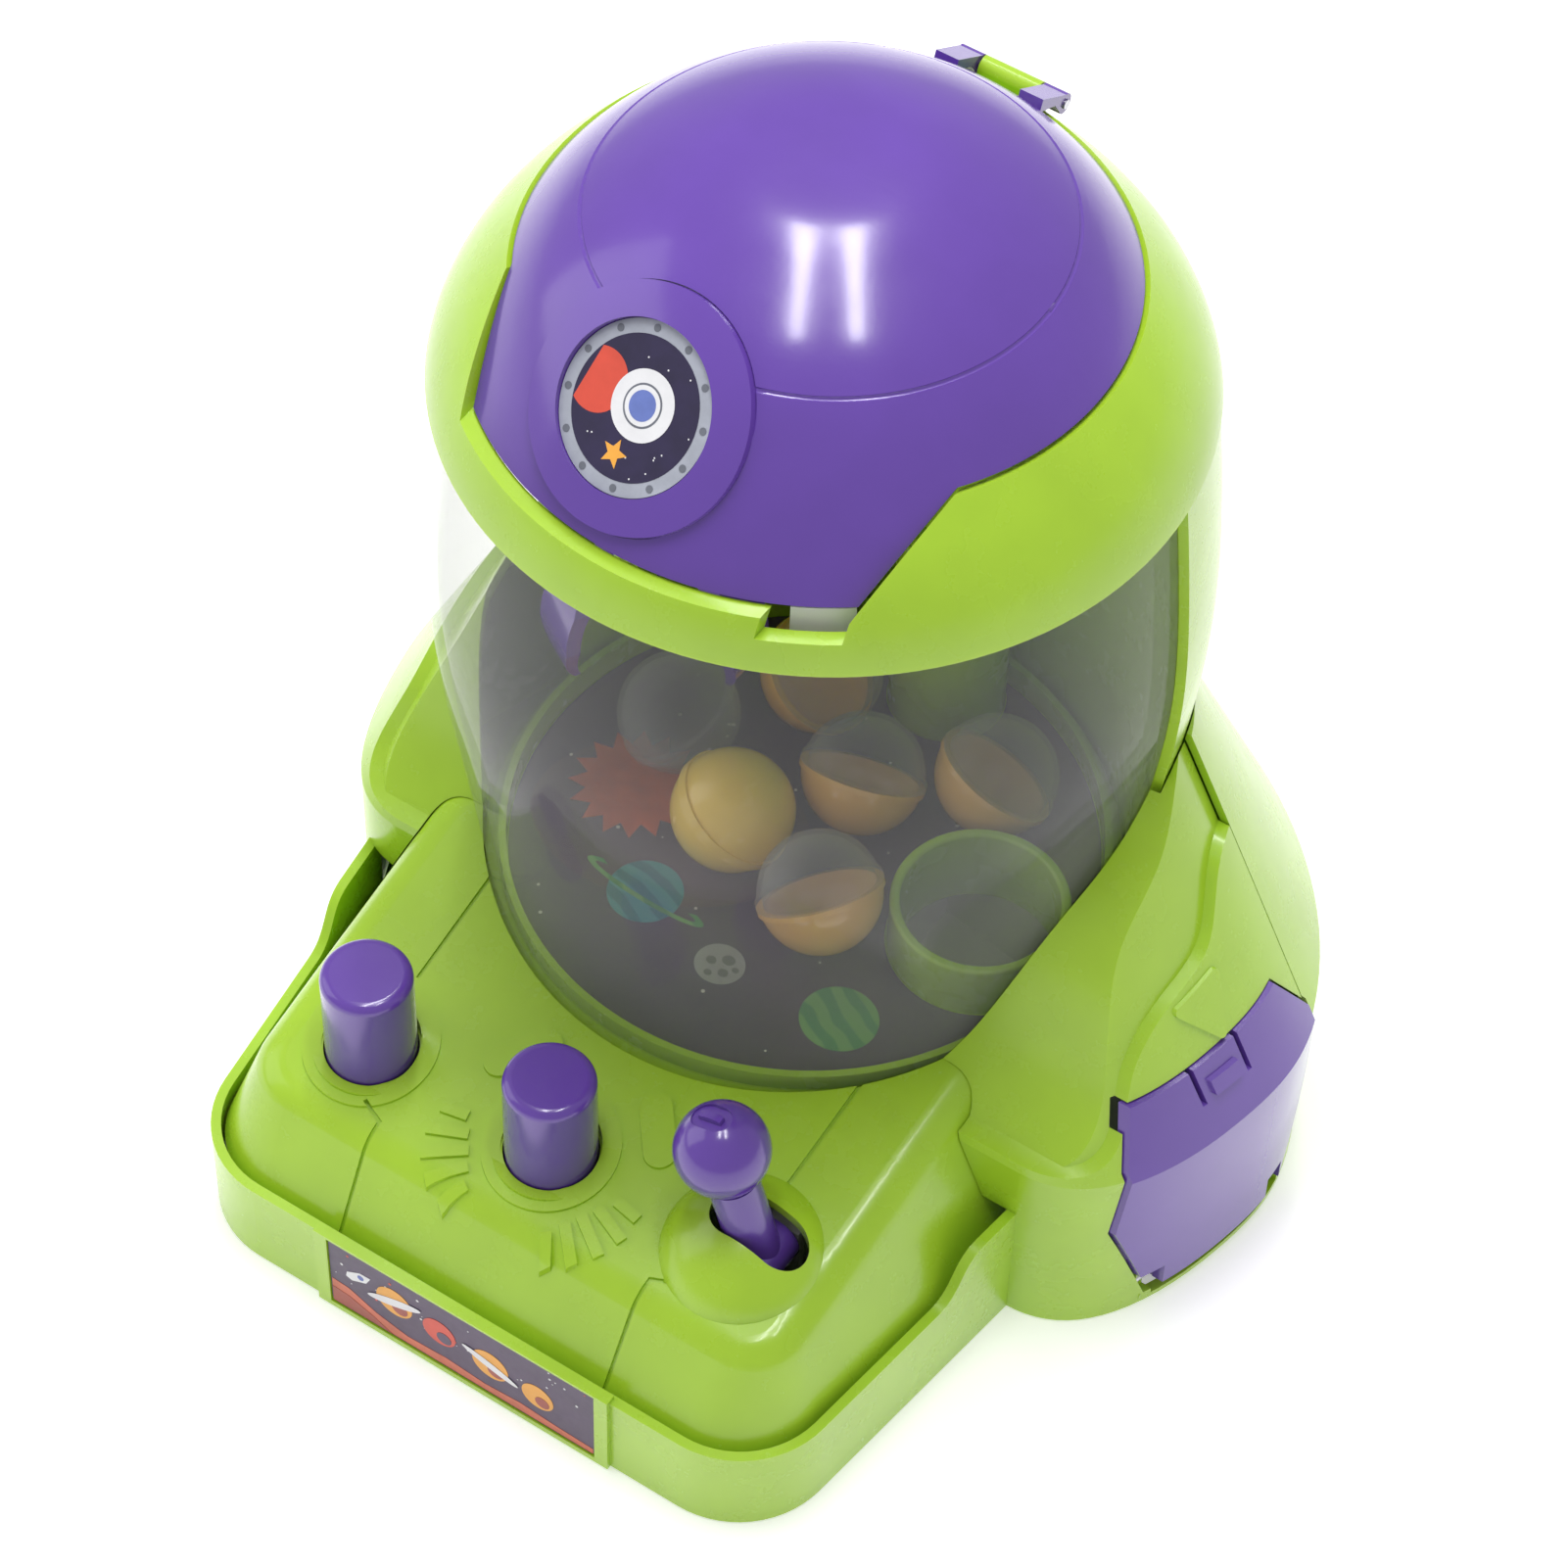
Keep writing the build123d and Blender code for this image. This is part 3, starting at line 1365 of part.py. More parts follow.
def front_label():
    with BuildPart() as label:
        with BuildSketch(Plane.XZ.offset(-TRAY_FRONT + 0.2)):
            with Locations((0, 1.8 + LABEL[1] / 2)):
                RectangleRounded(LABEL[0], LABEL[1], 1.5)
        extrude(amount=0.5)
    return label.part


def lid_catch():
    """Clear spring tab under the visor that the lid clips on to, with a foot on the hoop."""
    tab = [(70, 199), (69.2, 207.25)]
    tab_inner = [(68, 199), (67.4, 207.25)]
    foot = [(74, 199), (74, 201)]
    foot_inner = [(68.6, 199), (68.6, 201)]
    with BuildPart() as catch:
        add(turned_band(tab, tab_inner, 5, -57))
        add(turned_band(foot, foot_inner, 5, -57))
        add(top_hoop(), mode=Mode.SUBTRACT)
    return catch.part


# ---------------------------------------------------------------- write every piece
write(base_tray(), "base_tray")
write(bottom_cover(), "bottom_cover")
write(screws(), "bottom_screws")
write(console_cover(), "console_cover")
write(pod_shell(True), "side_pod_right")
write(pod_shell(False), "side_pod_left")
write(rear_housing(), "rear_housing")
write(front_window(), "front_window")
write(tank_rear(), "tank_rear_shell")
write(top_hoop(), "top_hoop")
write(play_floor(), "play_floor")
write(floor_card(), "floor_card")
write(chute_ring(), "chute_ring")
write(prize_chute(), "prize_chute")
write(front_label(), "front_label")
write(lid_catch(), "lid_catch")
write(hinge_bore(1, 12.6), "lid_pin")
write(pin_between(DOOR_AXIS_A, DOOR_AXIS_B, 1.2, DOOR_HINGE_Z), "door_pin")
write(lid(), "lid")
write(porthole_bezel(), "porthole_bezel")
write(porthole_picture(), "porthole_picture")
write(prize_door(), "prize_door")
write(push_button(*LIFT_XY), "lift_button")
write(push_button(*GRAB_XY), "grab_button")
write(button_spring(*LIFT_XY), "lift_spring")
write(button_spring(*GRAB_XY), "grab_spring")
write(joystick_ball(), "joystick_ball")
write(joystick_stem(), "joystick_stem")
write(joystick_bracket(), "joystick_bracket")
write(joystick_pin(), "joystick_pin")
write(swing_rack(), "swing_rack")
write(rack_guides(), "rack_guides")
write(column_gear(), "column_gear")
write(turret_tube(), "turret_tube")
write(turret_collar(), "turret_collar")
write(column_sleeve(), "column_sleeve")
write(lift_lever(), "lift_lever")
write(lever_pin(), "lever_pin")
write(lever_bracket(), "lever_bracket")
write(lift_rod(), "lift_rod")
write(cross_pin(), "cross_pin")
write(boom(), "boom")
write(claw_hub(), "claw_hub")
write(claw_plunger(), "claw_plunger")
write(finger_pins(), "finger_pins")
for number in range(3):
    write(claw_finger(number), f"claw_finger_{number + 1}")
for number, (x, y, turn) in enumerate(CAPSULES, start=1):
    write(capsule_half(x, y, True, turn), f"capsule_{number}_clear_half")
    write(capsule_half(x, y, False, turn), f"capsule_{number}_colour_half")
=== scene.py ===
import json
import math
import random

import bpy
from mathutils import Matrix, Vector


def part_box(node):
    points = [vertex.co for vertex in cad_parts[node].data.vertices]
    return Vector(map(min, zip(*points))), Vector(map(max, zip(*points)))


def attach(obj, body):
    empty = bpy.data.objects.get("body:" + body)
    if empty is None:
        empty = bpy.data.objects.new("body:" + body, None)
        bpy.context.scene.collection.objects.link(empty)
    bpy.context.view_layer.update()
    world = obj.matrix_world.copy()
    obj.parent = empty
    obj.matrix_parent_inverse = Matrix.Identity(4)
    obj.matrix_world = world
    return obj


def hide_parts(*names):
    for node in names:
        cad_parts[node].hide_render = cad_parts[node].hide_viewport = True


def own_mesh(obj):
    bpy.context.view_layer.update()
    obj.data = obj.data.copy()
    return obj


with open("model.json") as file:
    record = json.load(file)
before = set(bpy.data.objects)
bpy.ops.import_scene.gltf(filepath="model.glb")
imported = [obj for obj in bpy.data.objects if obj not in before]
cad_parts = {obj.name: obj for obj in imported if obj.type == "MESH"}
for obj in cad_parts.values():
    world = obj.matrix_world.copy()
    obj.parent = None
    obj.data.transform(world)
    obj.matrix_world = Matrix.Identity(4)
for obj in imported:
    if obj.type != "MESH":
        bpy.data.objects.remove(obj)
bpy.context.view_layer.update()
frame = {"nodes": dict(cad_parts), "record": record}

MM = 0.001
EDGE_ANGLE = math.radians(28)  # edges sharper than this stay crisp
NODES = frame["nodes"]


# ---------------------------------------------------------------- materials
def new_material(name):
    material = bpy.data.materials.new(name)
    material.use_nodes = True
    tree = material.node_tree
    return material, tree, tree.nodes["Principled BSDF"]


def add_noise(tree, scale, detail=3.0, roughness=0.5):
    coords = tree.nodes.new("ShaderNodeTexCoord")
    noise = tree.nodes.new("ShaderNodeTexNoise")
    noise.inputs["Scale"].default_value = scale
    noise.inputs["Detail"].default_value = detail
    noise.inputs["Roughness"].default_value = roughness
    tree.links.new(coords.outputs["Object"], noise.inputs["Vector"])
    return noise


def ramp(tree, source, stops):
    """Colour ramp from a float output; stops are (position, (r, g, b))."""
    node = tree.nodes.new("ShaderNodeValToRGB")
    elements = node.color_ramp.elements
    while len(elements) < len(stops):
        elements.new(0.5)
    for element, (position, colour) in zip(elements, stops):
        element.position = position
        element.color = (*colour, 1)
    tree.links.new(source, node.inputs["Fac"])
    return node


def to_range(tree, source, low, high):
    node = tree.nodes.new("ShaderNodeMapRange")
    node.inputs["To Min"].default_value = low
    node.inputs["To Max"].default_value = high
    tree.links.new(source, node.inputs["Value"])
    return node


def plastic(name, colour, rough=0.22, coat=0.25, vary=0.06, grain=0.03, scatter=0.0):
    """Injection-moulded plastic: faint mottling, uneven gloss, fine orange peel and hairline scuffs."""
    material, tree, shader = new_material(name)
    mottling = add_noise(tree, 38, 4)
    dark = tuple(c * (1 - vary) for c in colour)
    light = tuple(min(c * (1 + vary), 1) for c in colour)
    tone = ramp(tree, mottling.outputs["Fac"], [(0.3, dark), (0.7, light)])
    tree.links.new(tone.outputs["Color"], shader.inputs["Base Color"])
    gloss = to_range(tree, add_noise(tree, 90, 5, 0.6).outputs["Fac"], rough * 0.75, rough * 1.3)
    tree.links.new(gloss.outputs["Result"], shader.inputs["Roughness"])
    peel = add_noise(tree, 900, 2)
    scuff = add_noise(tree, 260, 6, 0.7)
    total = tree.nodes.new("ShaderNodeMath")
    total.operation = "MULTIPLY_ADD"
    total.inputs[1].default_value = 0.35
    tree.links.new(scuff.outputs["Fac"], total.inputs[0])
    tree.links.new(peel.outputs["Fac"], total.inputs[2])
    bump = tree.nodes.new("ShaderNodeBump")
    bump.inputs["Strength"].default_value = grain
    bump.inputs["Distance"].default_value = 0.0004
    tree.links.new(total.outputs["Value"], bump.inputs["Height"])
    tree.links.new(bump.outputs["Normal"], shader.inputs["Normal"])
    shader.inputs["Coat Weight"].default_value = coat
    shader.inputs["Coat Roughness"].default_value = 0.12
    shader.inputs["IOR"].default_value = 1.5
    if scatter:
        shader.inputs["Subsurface Weight"].default_value = scatter
        shader.inputs["Subsurface Radius"].default_value = (0.004, 0.004, 0.002)
        shader.inputs["Subsurface Scale"].default_value = 1.0
    return material


def clear_plastic(name, colour, alpha, rough=0.05):
    """Thin clear moulding: see-through, with gloss, faint smears and dust."""
    material, tree, shader = new_material(name)
    shader.inputs["Base Color"].default_value = (*colour, 1)
    smear = add_noise(tree, 60, 5, 0.6)
    gloss = to_range(tree, smear.outputs["Fac"], rough, rough * 2.2)
    tree.links.new(gloss.outputs["Result"], shader.inputs["Roughness"])
    dust = add_noise(tree, 1500, 1)
    specks = ramp(tree, dust.outputs["Fac"], [(0.0, (0, 0, 0)), (0.86, (0, 0, 0)), (0.88, (1, 1, 1))])
    see = tree.nodes.new("ShaderNodeMath")
    see.operation = "MULTIPLY_ADD"
    see.use_clamp = True
    see.inputs[1].default_value = 0.25
    tree.links.new(specks.outputs["Color"], see.inputs[0])
    fresnel = tree.nodes.new("ShaderNodeLayerWeight")
    fresnel.inputs["Blend"].default_value = 0.25
    edge = to_range(tree, fresnel.outputs["Facing"], alpha, min(alpha + 0.35, 0.95))
    tree.links.new(edge.outputs["Result"], see.inputs[2])
    tree.links.new(see.outputs["Value"], shader.inputs["Alpha"])
    shader.inputs["IOR"].default_value = 1.49
    shader.inputs["Specular IOR Level"].default_value = 0.9
    return material


def metal(name, colour, rough):
    material, tree, shader = new_material(name)
    tone = ramp(
        tree,
        add_noise(tree, 300, 4).outputs["Fac"],
        [(0.3, tuple(c * 0.8 for c in colour)), (0.7, colour)],
    )
    tree.links.new(tone.outputs["Color"], shader.inputs["Base Color"])
    gloss = to_range(tree, add_noise(tree, 700, 3).outputs["Fac"], rough * 0.7, rough * 1.3)
    tree.links.new(gloss.outputs["Result"], shader.inputs["Roughness"])
    shader.inputs["Metallic"].default_value = 1.0
    return material


def printed(name, colour, vary=0.12, rough=0.4, scale=160):
    """Ink on card or film, with slight mottling."""
    material, tree, shader = new_material(name)
    tone = ramp(
        tree,
        add_noise(tree, scale, 5, 0.6).outputs["Fac"],
        [
            (0.3, tuple(c * (1 - vary) for c in colour)),
            (0.7, tuple(min(c * (1 + vary), 1) for c in colour)),
        ],
    )
    tree.links.new(tone.outputs["Color"], shader.inputs["Base Color"])
    gloss = to_range(tree, add_noise(tree, 500, 2).outputs["Fac"], rough * 0.8, rough * 1.2)
    tree.links.new(gloss.outputs["Result"], shader.inputs["Roughness"])
    return material


def banded(name, first, second, scale, turn=0.0):
    """Printed planet: wavy bands of two inks."""
    material, tree, shader = new_material(name)
    coords = tree.nodes.new("ShaderNodeTexCoord")
    mapping = tree.nodes.new("ShaderNodeMapping")
    mapping.inputs["Rotation"].default_value = (0, 0, turn)
    tree.links.new(coords.outputs["Object"], mapping.inputs["Vector"])
    wave = tree.nodes.new("ShaderNodeTexWave")
    wave.inputs["Scale"].default_value = scale
    wave.inputs["Distortion"].default_value = 5.0
    wave.inputs["Detail"].default_value = 2.0
    wave.bands_direction = "Y"
    tree.links.new(mapping.outputs["Vector"], wave.inputs["Vector"])
    tone = ramp(tree, wave.outputs["Fac"], [(0.35, first), (0.6, second)])
    tree.links.new(tone.outputs["Color"], shader.inputs["Base Color"])
    shader.inputs["Roughness"].default_value = 0.42
    return material


GREEN = plastic("green_plastic", (0.36, 0.58, 0.026), 0.26, 0.3, scatter=0.12)
PURPLE = plastic("purple_plastic", (0.115, 0.048, 0.34), 0.20, 0.5)
WHITE = plastic("inner_plastic", (0.62, 0.62, 0.60), 0.42, 0.0)
WINDOW = clear_plastic("smoky_window", (0.40, 0.40, 0.41), 0.025, 0.03)
CLEAR = clear_plastic("clear_capsule", (0.9, 0.9, 0.88), 0.035, 0.03)
CATCH_CLEAR = clear_plastic("clear_catch", (0.85, 0.85, 0.84), 0.6, 0.2)
CLEAR_AMBER = clear_plastic("amber_capsule", (0.95, 0.56, 0.14), 0.7, 0.06)
YELLOW = plastic("yellow_capsule", (0.95, 0.62, 0.09), 0.25, 0.3, scatter=0.2)
ORANGE = plastic("orange_capsule", (0.90, 0.46, 0.05), 0.25, 0.3, scatter=0.2)
STEEL = metal("plated_steel", (0.62, 0.62, 0.65), 0.28)
CARD_DARK = printed("card_dark", (0.075, 0.05, 0.10))

SLOT_MATERIAL = {
    "green": GREEN,
    "purple": PURPLE,
    "inner_white": WHITE,
    "smoky_clear": WINDOW,
    "steel": STEEL,
    "label_print": CARD_DARK,
    "floor_print": CARD_DARK,
    "porthole_print": printed("porthole_grey", (0.34, 0.36, 0.42)),
    "capsule_yellow": YELLOW,
    "capsule_amber": CLEAR_AMBER,
    "capsule_orange": ORANGE,
    "capsule_clear": CLEAR,
}


def paint(thing, material):
    thing.data.materials.clear()
    thing.data.materials.append(material)


for part in frame["record"]["subparts"]:
    node = NODES[part["node"]]
    paint(node, SLOT_MATERIAL[part["material_slot"]])
    node.data.polygons.foreach_set("use_smooth", [True] * len(node.data.polygons))
    fine = node.modifiers.new("smooth_edges", "EDGE_SPLIT")
    fine.split_angle = EDGE_ANGLE
paint(NODES["lid_catch"], CATCH_CLEAR)


def pressed_spring(node_name):
    """Copy of a knob's return spring, attached to the machine; the original part is hidden."""
    coil = bpy.data.objects.new(node_name + "_coil", NODES[node_name].data.copy())
    bpy.context.scene.collection.objects.link(coil)
    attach(coil, "machine")
    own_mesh(coil)
    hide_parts(node_name)


pressed_spring("lift_spring")
pressed_spring("grab_spring")


# ---------------------------------------------------------------- shapes
def mesh_piece(name, points, faces, material, body):
    mesh = bpy.data.meshes.new(name)
    mesh.from_pydata([tuple(p) for p in points], [], faces)
    mesh.update()
    thing = bpy.data.objects.new(name, mesh)
    bpy.context.scene.collection.objects.link(thing)
    mesh.materials.append(material)
    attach(thing, body)
    return thing


def plate(name, outline, place, lift, height, material, body):
    """A thin plate with the given outline; place turns (x, y, height) in mm into a point in metres."""
    count = len(outline)
    points = [place(x, y, lift) for x, y in outline]
    points += [place(x, y, lift + height) for x, y in outline]
    faces = [tuple(range(count, 2 * count)), tuple(reversed(range(count)))]
    faces += [(i, (i + 1) % count, count + (i + 1) % count, count + i) for i in range(count)]
    return mesh_piece(name, points, faces, material, body)


def ellipse(cx, cy, a, b=None, turn=0.0, count=40):
    b = a if b is None else b
    c, s = math.cos(turn), math.sin(turn)
    outline = []
    for i in range(count):
        t = 2 * math.pi * i / count
        x, y = a * math.cos(t), b * math.sin(t)
        outline.append((cx + x * c - y * s, cy + x * s + y * c))
    return outline


def star(cx, cy, outer, inner, points, turn=0.0):
    outline = []
    for i in range(2 * points):
        r = outer if i % 2 == 0 else inner
        t = turn + math.pi * i / points
        outline.append((cx + r * math.cos(t), cy + r * math.sin(t)))
    return outline


# ---------------------------------------------------------------- printed floor card
card_low, card_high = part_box("floor_card")
TEAL = banded("ink_teal", (0.02, 0.20, 0.24), (0.05, 0.32, 0.34), 60, 0.3)
LEAF = banded("ink_leaf", (0.06, 0.30, 0.10), (0.16, 0.42, 0.12), 60, 0.5)
SUN = printed("ink_sun", (0.62, 0.10, 0.02), 0.2)
MOON = printed("ink_moon", (0.34, 0.35, 0.33), 0.1)
MOON_DARK = printed("ink_moon_dark", (0.15, 0.15, 0.15), 0.1)
MAUVE = printed("ink_mauve", (0.11, 0.065, 0.10), 0.1)
SPECK = printed("ink_speck", (0.6, 0.55, 0.5), 0.1)
RINGED_PLANET = (-20.8, -30.5)
CHUTE = (44.5, -1, 21)  # x, y, radius kept free of specks
COLUMN = (3, 52, 15)
RING_STEPS = 60
CRATERS = [(1.0, -37.5, 1.2), (4.2, -35.6, 1.5), (5.0, -39.0, 1.2), (2.2, -40.6, 0.9), (6.8, -37.0, 0.8)]


def on_card(x, y, h):
    return Vector((x * MM, y * MM, card_high.z + h * MM))


def card_print(name, outline, lift, height, ink):
    plate(name, outline, on_card, lift, height, ink, "machine")


def card_ring():
    """Ring round the teal planet, open where it passes behind."""
    turn = -0.05
    outer = ellipse(*RINGED_PLANET, 15.5, 2.6, turn, RING_STEPS)
    inner = ellipse(*RINGED_PLANET, 15.5 * 0.86, 2.6 * 0.55, turn, RING_STEPS)
    points = [on_card(x, y, 0.12) for x, y in outer + inner]
    faces = []
    for i in range(RING_STEPS):
        j = (i + 1) % RING_STEPS
        if not 0.10 < (i + 0.5) / RING_STEPS < 0.40:
            faces.append((i, j, RING_STEPS + j, RING_STEPS + i))
    mesh_piece("floor_planet_ring", points, faces, LEAF, "machine")


def clear_of(x, y, spot):
    return math.hypot(x - spot[0], y - spot[1]) >= spot[2]


card_print("floor_cloud", ellipse(-27, -12, 31, 22, 0.3, 64), 0.01, 0.03, MAUVE)
card_print("floor_planet_teal", ellipse(*RINGED_PLANET, 8.3), 0.02, 0.06, TEAL)
card_ring()
card_print("floor_moon", ellipse(3.1, -37.4, 5.6, 5.2), 0.02, 0.06, MOON)
for index, (x, y, r) in enumerate(CRATERS):
    card_print(f"floor_crater_{index + 1}", ellipse(x, y, r, r * 0.85), 0.09, 0.03, MOON_DARK)
card_print("floor_planet_green", ellipse(31.7, -35, 8.6, 8.2), 0.02, 0.06, LEAF)
card_print("floor_sun", star(-39, -7.5, 15, 11.2, 16, 0.1), 0.02, 0.06, SUN)
random.seed(7)
for index in range(40):
    angle = random.uniform(0, 2 * math.pi)
    radius = 60 * math.sqrt(random.random())
    x, y = radius * math.cos(angle), radius * math.sin(angle)
    if clear_of(x, y, CHUTE) and clear_of(x, y, COLUMN):
        size = random.uniform(0.2, 0.5)
        card_print(f"floor_speck_{index + 1}", ellipse(x, y, size, size, 0, 8), 0.02, 0.05, SPECK)

# ---------------------------------------------------------------- front label
label_low, label_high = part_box("front_label")
SALMON = printed("ink_salmon", (0.55, 0.13, 0.07), 0.15)
SALMON_DARK = printed("ink_salmon_dark", (0.34, 0.07, 0.05), 0.15)
ORANGE_INK = printed("ink_orange", (0.78, 0.36, 0.05), 0.08)
RED_INK = printed("ink_red", (0.62, 0.07, 0.04), 0.08)
WHITE_INK = printed("ink_white", (0.72, 0.72, 0.74), 0.05)
BLUE_INK = printed("ink_blue", (0.10, 0.14, 0.42), 0.1)
LABEL_HALF = (label_high.x - label_low.x) / MM / 2
EDGE = LABEL_HALF - 0.3  # art stops this far from the middle
FOOT = 0.4  # height of the art's lower edge above the label's foot
GROUND = [(-EDGE, FOOT), (EDGE, FOOT), (EDGE, 2.2), (24, 2.6), (15, 3.4), (6, 2.6), (-4, 3.6)]
GROUND += [(-14, 3.0), (-22, 5.0), (-29, 8.4), (-EDGE, 8.8)]
HILL = [(-EDGE, FOOT), (-18, FOOT), (-23, 3.0), (-29, 5.4), (-EDGE, 5.8)]
ROCKET = [(-29.5, 13), (-28, 12.4), (-24.2, 14.4), (-23.0, 17.0), (-25.8, 16.9), (-29.2, 14.7)]
PLANETS = [
    (-17, 13.5, 4.6, ORANGE_INK, SALMON_DARK),
    (-5.5, 12.2, 4.2, RED_INK, CARD_DARK),
    (7.5, 11.2, 4.6, ORANGE_INK, SALMON_DARK),
    (19.5, 9.8, 4.0, ORANGE_INK, SALMON_DARK),
]
PLANET_RINGS = [(-17, 13.5, 7.4, 1.3, 0.35), (7.5, 11.2, 7.4, 1.2, -0.3)]


def on_label(x, y, h):
    return Vector((x * MM, label_low.y - (0.02 + h) * MM, label_low.z + y * MM))


def label_print(name, outline, lift, height, ink):
    plate(name, outline, on_label, lift, height, ink, "machine")


label_print("label_ground", GROUND, 0, 0.05, SALMON)
label_print("label_hill", HILL, 0.06, 0.05, SALMON_DARK)
for index, (x, y, r, ink, shade) in enumerate(PLANETS):
    label_print(f"label_planet_{index + 1}", ellipse(x, y, r), 0, 0.07, ink)
    spot = ellipse(x + r * 0.3, y - r * 0.3, r * 0.45)
    label_print(f"label_planet_shade_{index + 1}", spot, 0.08, 0.04, shade)
for index, ring in enumerate(PLANET_RINGS):
    label_print(f"label_ring_{index + 1}", ellipse(*ring), 0.13, 0.03, WHITE_INK)
label_print("label_rocket", ROCKET, 0, 0.07, WHITE_INK)
label_print("label_rocket_window", ellipse(-25.6, 15.3, 0.8), 0.08, 0.04, BLUE_INK)
for index in range(34):
    x = random.uniform(-LABEL_HALF + 1.5, LABEL_HALF - 1.5)
    y = random.uniform(10, 22)
    size = random.uniform(0.12, 0.38)
    ink = RED_INK if index % 6 == 0 else WHITE_INK
    label_print(f"label_star_{index + 1}", ellipse(x, y, size, size, 0, 8), 0, 0.04, ink)

# ---------------------------------------------------------------- porthole picture
picture_low, picture_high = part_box("porthole_picture")
picture_centre = (picture_low + picture_high) / 2
BADGE_AZIMUTH = math.radians(-10)  # from the front towards the right
BADGE_TILT = math.radians(42)  # above level
NIGHT_RADIUS = 13.7
MOON_SPOT = (1.2, 1.2)
outward = Vector(
    (
        math.sin(BADGE_AZIMUTH) * math.cos(BADGE_TILT),
        -math.cos(BADGE_AZIMUTH) * math.cos(BADGE_TILT),
        math.sin(BADGE_TILT),
    )
)
across = Vector((math.cos(BADGE_AZIMUTH), math.sin(BADGE_AZIMUTH), 0))
upward = outward.cross(across)
picture_points = NODES["porthole_picture"].data.vertices
face_height = max((vertex.co - picture_centre).dot(outward) for vertex in picture_points)
NIGHT = printed("ink_night", (0.018, 0.012, 0.05), 0.2)
GREY_DARK = printed("ink_rivet", (0.13, 0.14, 0.17))
LAKE = printed("ink_lake", (0.12, 0.17, 0.46))


def on_badge(x, y, h):
    height = face_height + (0.02 + h) * MM
    return picture_centre + outward * height + across * x * MM + upward * y * MM


def badge_print(name, outline, lift, height, ink):
    plate(name, outline, on_badge, lift, height, ink, "lid")


badge_print("porthole_night", ellipse(0, 0, NIGHT_RADIUS, NIGHT_RADIUS, 0, 72), 0, 0.04, NIGHT)
for index in range(12):
    t = 2 * math.pi * (index + 0.5) / 12
    rivet = ellipse(15.1 * math.cos(t), 15.1 * math.sin(t), 0.75, 0.75, 0, 16)
    badge_print(f"porthole_rivet_{index + 1}", rivet, 0, 0.06, GREY_DARK)
sun = [p for p in ellipse(-9.5, 0.5, 6.2, 6.2, 0, 60) if math.hypot(*p) < NIGHT_RADIUS - 0.1]
badge_print("porthole_sun", sun, 0.05, 0.03, RED_INK)
badge_print("porthole_moon", ellipse(*MOON_SPOT, 6.8, 6.8, 0, 56), 0.09, 0.03, WHITE_INK)
badge_print("porthole_moon_line", ellipse(*MOON_SPOT, 4.2, 4.2, 0, 48), 0.13, 0.02, GREY_DARK)
badge_print("porthole_moon_inner", ellipse(*MOON_SPOT, 3.8, 3.8, 0, 48), 0.16, 0.02, WHITE_INK)
badge_print("porthole_moon_blue", ellipse(*MOON_SPOT, 2.9, 2.9, 0, 48), 0.19, 0.02, LAKE)
badge_print("porthole_star", star(0.6, -9.2, 2.9, 1.3, 5, 0.3), 0.05, 0.04, ORANGE_INK)
for index in range(16):
    t = random.uniform(0, 2 * math.pi)
    r = random.uniform(8.5, 13)
    speck = ellipse(r * math.cos(t), r * math.sin(t), 0.18, 0.18, 0, 8)
    badge_print(f"porthole_speck_{index + 1}", speck, 0, 0.05, WHITE_INK)


# ---------------------------------------------------------------- stage, light and camera
STAGE_HALF = 4.0
STAGE_DROP = 0.0005
STAGE_GLOW = 0.42
WORLD_STRENGTH = 0.5
AIM = Vector((0, 0, 0.12))
DOME_MIDDLE = Vector((0, 0, 0.2))
ELEVATION = math.radians(51.6)
AZIMUTH = math.radians(32.1)
ROLL = math.radians(2.0)
CAMERA_POSITION = Vector((0.3393, -0.5503, 0.8840))
STRIP_DISTANCE = 1.2


def stage_floor():
    mesh = bpy.data.meshes.new("studio_floor")
    half = STAGE_HALF
    corners = [(-half, -half), (half, -half), (half, half), (-half, half)]
    mesh.from_pydata([(x, y, -STAGE_DROP) for x, y in corners], [], [(0, 1, 2, 3)])
    floor = bpy.data.objects.new("studio_floor", mesh)
    bpy.context.scene.collection.objects.link(floor)
    material, tree, shader = new_material("studio_white")
    mottling = add_noise(tree, 3, 2)
    tone = ramp(tree, mottling.outputs["Fac"], [(0.3, (0.86, 0.86, 0.86)), (0.7, (0.9, 0.9, 0.9))])
    tree.links.new(tone.outputs["Color"], shader.inputs["Base Color"])
    tree.links.new(tone.outputs["Color"], shader.inputs["Emission Color"])
    shader.inputs["Emission Strength"].default_value = STAGE_GLOW
    shader.inputs["Roughness"].default_value = 0.9
    mesh.materials.append(material)


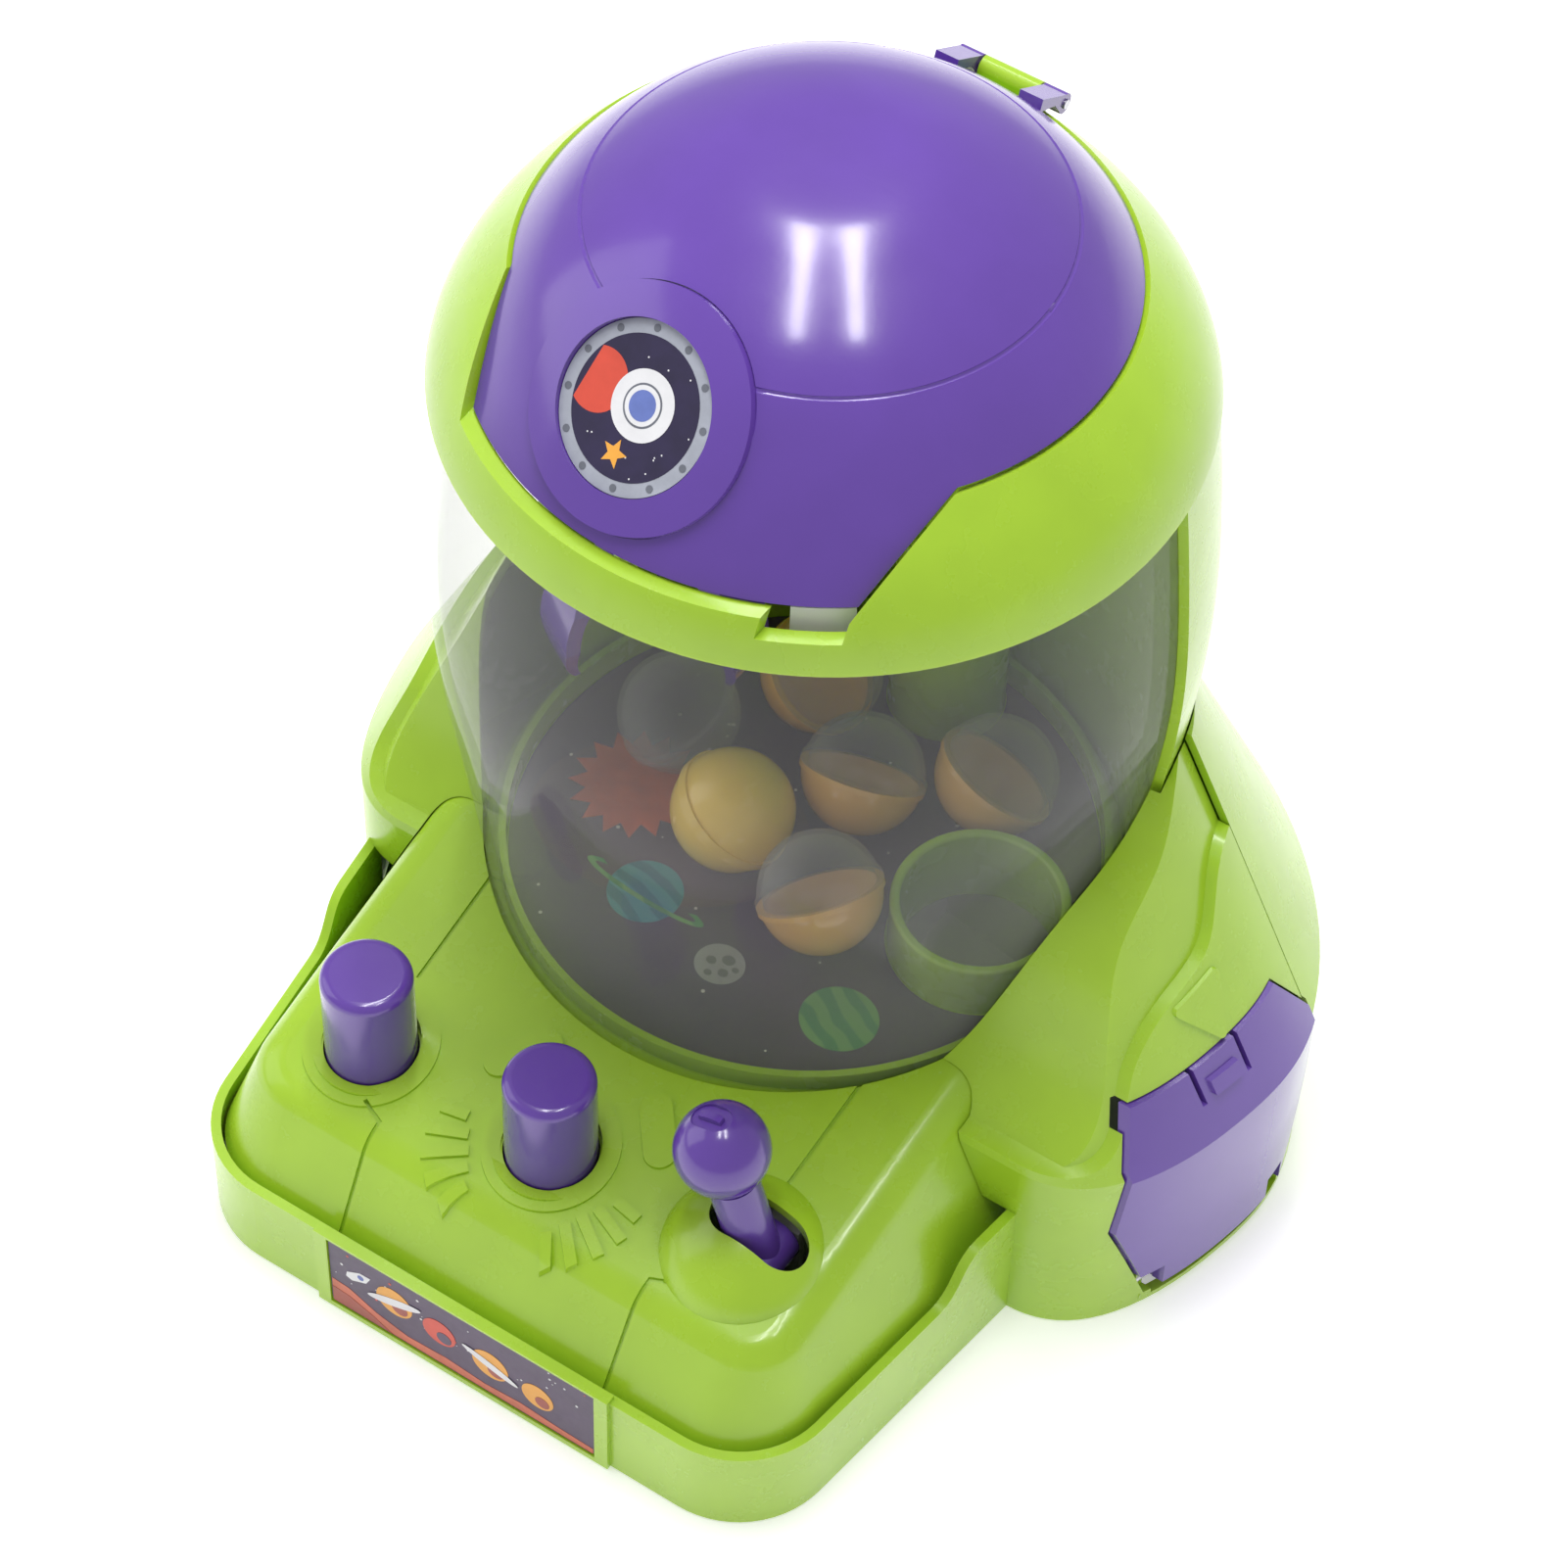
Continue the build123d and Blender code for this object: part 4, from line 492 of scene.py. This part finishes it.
def area_light(name, position, target, size_x, size_y, power):
    data = bpy.data.lights.new(name, "AREA")
    data.shape = "RECTANGLE"
    data.size = size_x
    data.size_y = size_y
    data.energy = power
    light = bpy.data.objects.new(name, data)
    bpy.context.scene.collection.objects.link(light)
    light.location = position
    light.rotation_euler = (Vector(target) - Vector(position)).to_track_quat("-Z", "Y").to_euler()
    return light


def pose_matrix(x_axis, y_axis, z_axis, position):
    columns = zip(x_axis, y_axis, z_axis, position)
    return Matrix((*columns, (0, 0, 0, 1)))


def strip_light(name, shift):
    """Tall narrow light above the view, facing the dome, so that it shows as an upright bar on the lid."""
    light = area_light(name, (0, 0, 0), AIM, 0.08, 1.0, 6)
    middle = right * shift + DOME_MIDDLE + (back * 0.68 + up * 0.73) * STRIP_DISTANCE
    away = (middle - DOME_MIDDLE).normalized()
    along = (up - away * up.dot(away)).normalized()
    light.matrix_world = pose_matrix(along.cross(away), along, away, middle)


stage_floor()
world = bpy.data.worlds.new("studio")
world.use_nodes = True
background = world.node_tree.nodes["Background"]
background.inputs["Color"].default_value = (1, 1, 1, 1)
background.inputs["Strength"].default_value = WORLD_STRENGTH
bpy.context.scene.world = world

back = Vector(
    (
        math.sin(AZIMUTH) * math.cos(ELEVATION),
        -math.cos(AZIMUTH) * math.cos(ELEVATION),
        math.sin(ELEVATION),
    )
)
right = Vector((math.cos(AZIMUTH), math.sin(AZIMUTH), 0))
up = back.cross(right)
strip_light("strip_left", -0.125)
strip_light("strip_right", 0.125)
overhead = area_light("overhead", (-0.2, 0.3, 1.6), AIM, 1.4, 1.4, 6)
overhead.visible_glossy = False
area_light("left_fill", (-1.2, -0.5, 0.8), AIM, 0.9, 1.2, 4)

camera_data = bpy.data.cameras.new("camera")
camera_data.sensor_width = 36
camera_data.lens = 112.54
camera_data.clip_start = 0.05
camera_data.clip_end = 20
camera = bpy.data.objects.new("camera", camera_data)
bpy.context.scene.collection.objects.link(camera)
side = right * math.cos(ROLL) + up * math.sin(ROLL)
top = -right * math.sin(ROLL) + up * math.cos(ROLL)
camera.matrix_world = pose_matrix(side, top, back, CAMERA_POSITION)
bpy.context.scene.camera = camera
bpy.context.scene.view_settings.view_transform = "Standard"
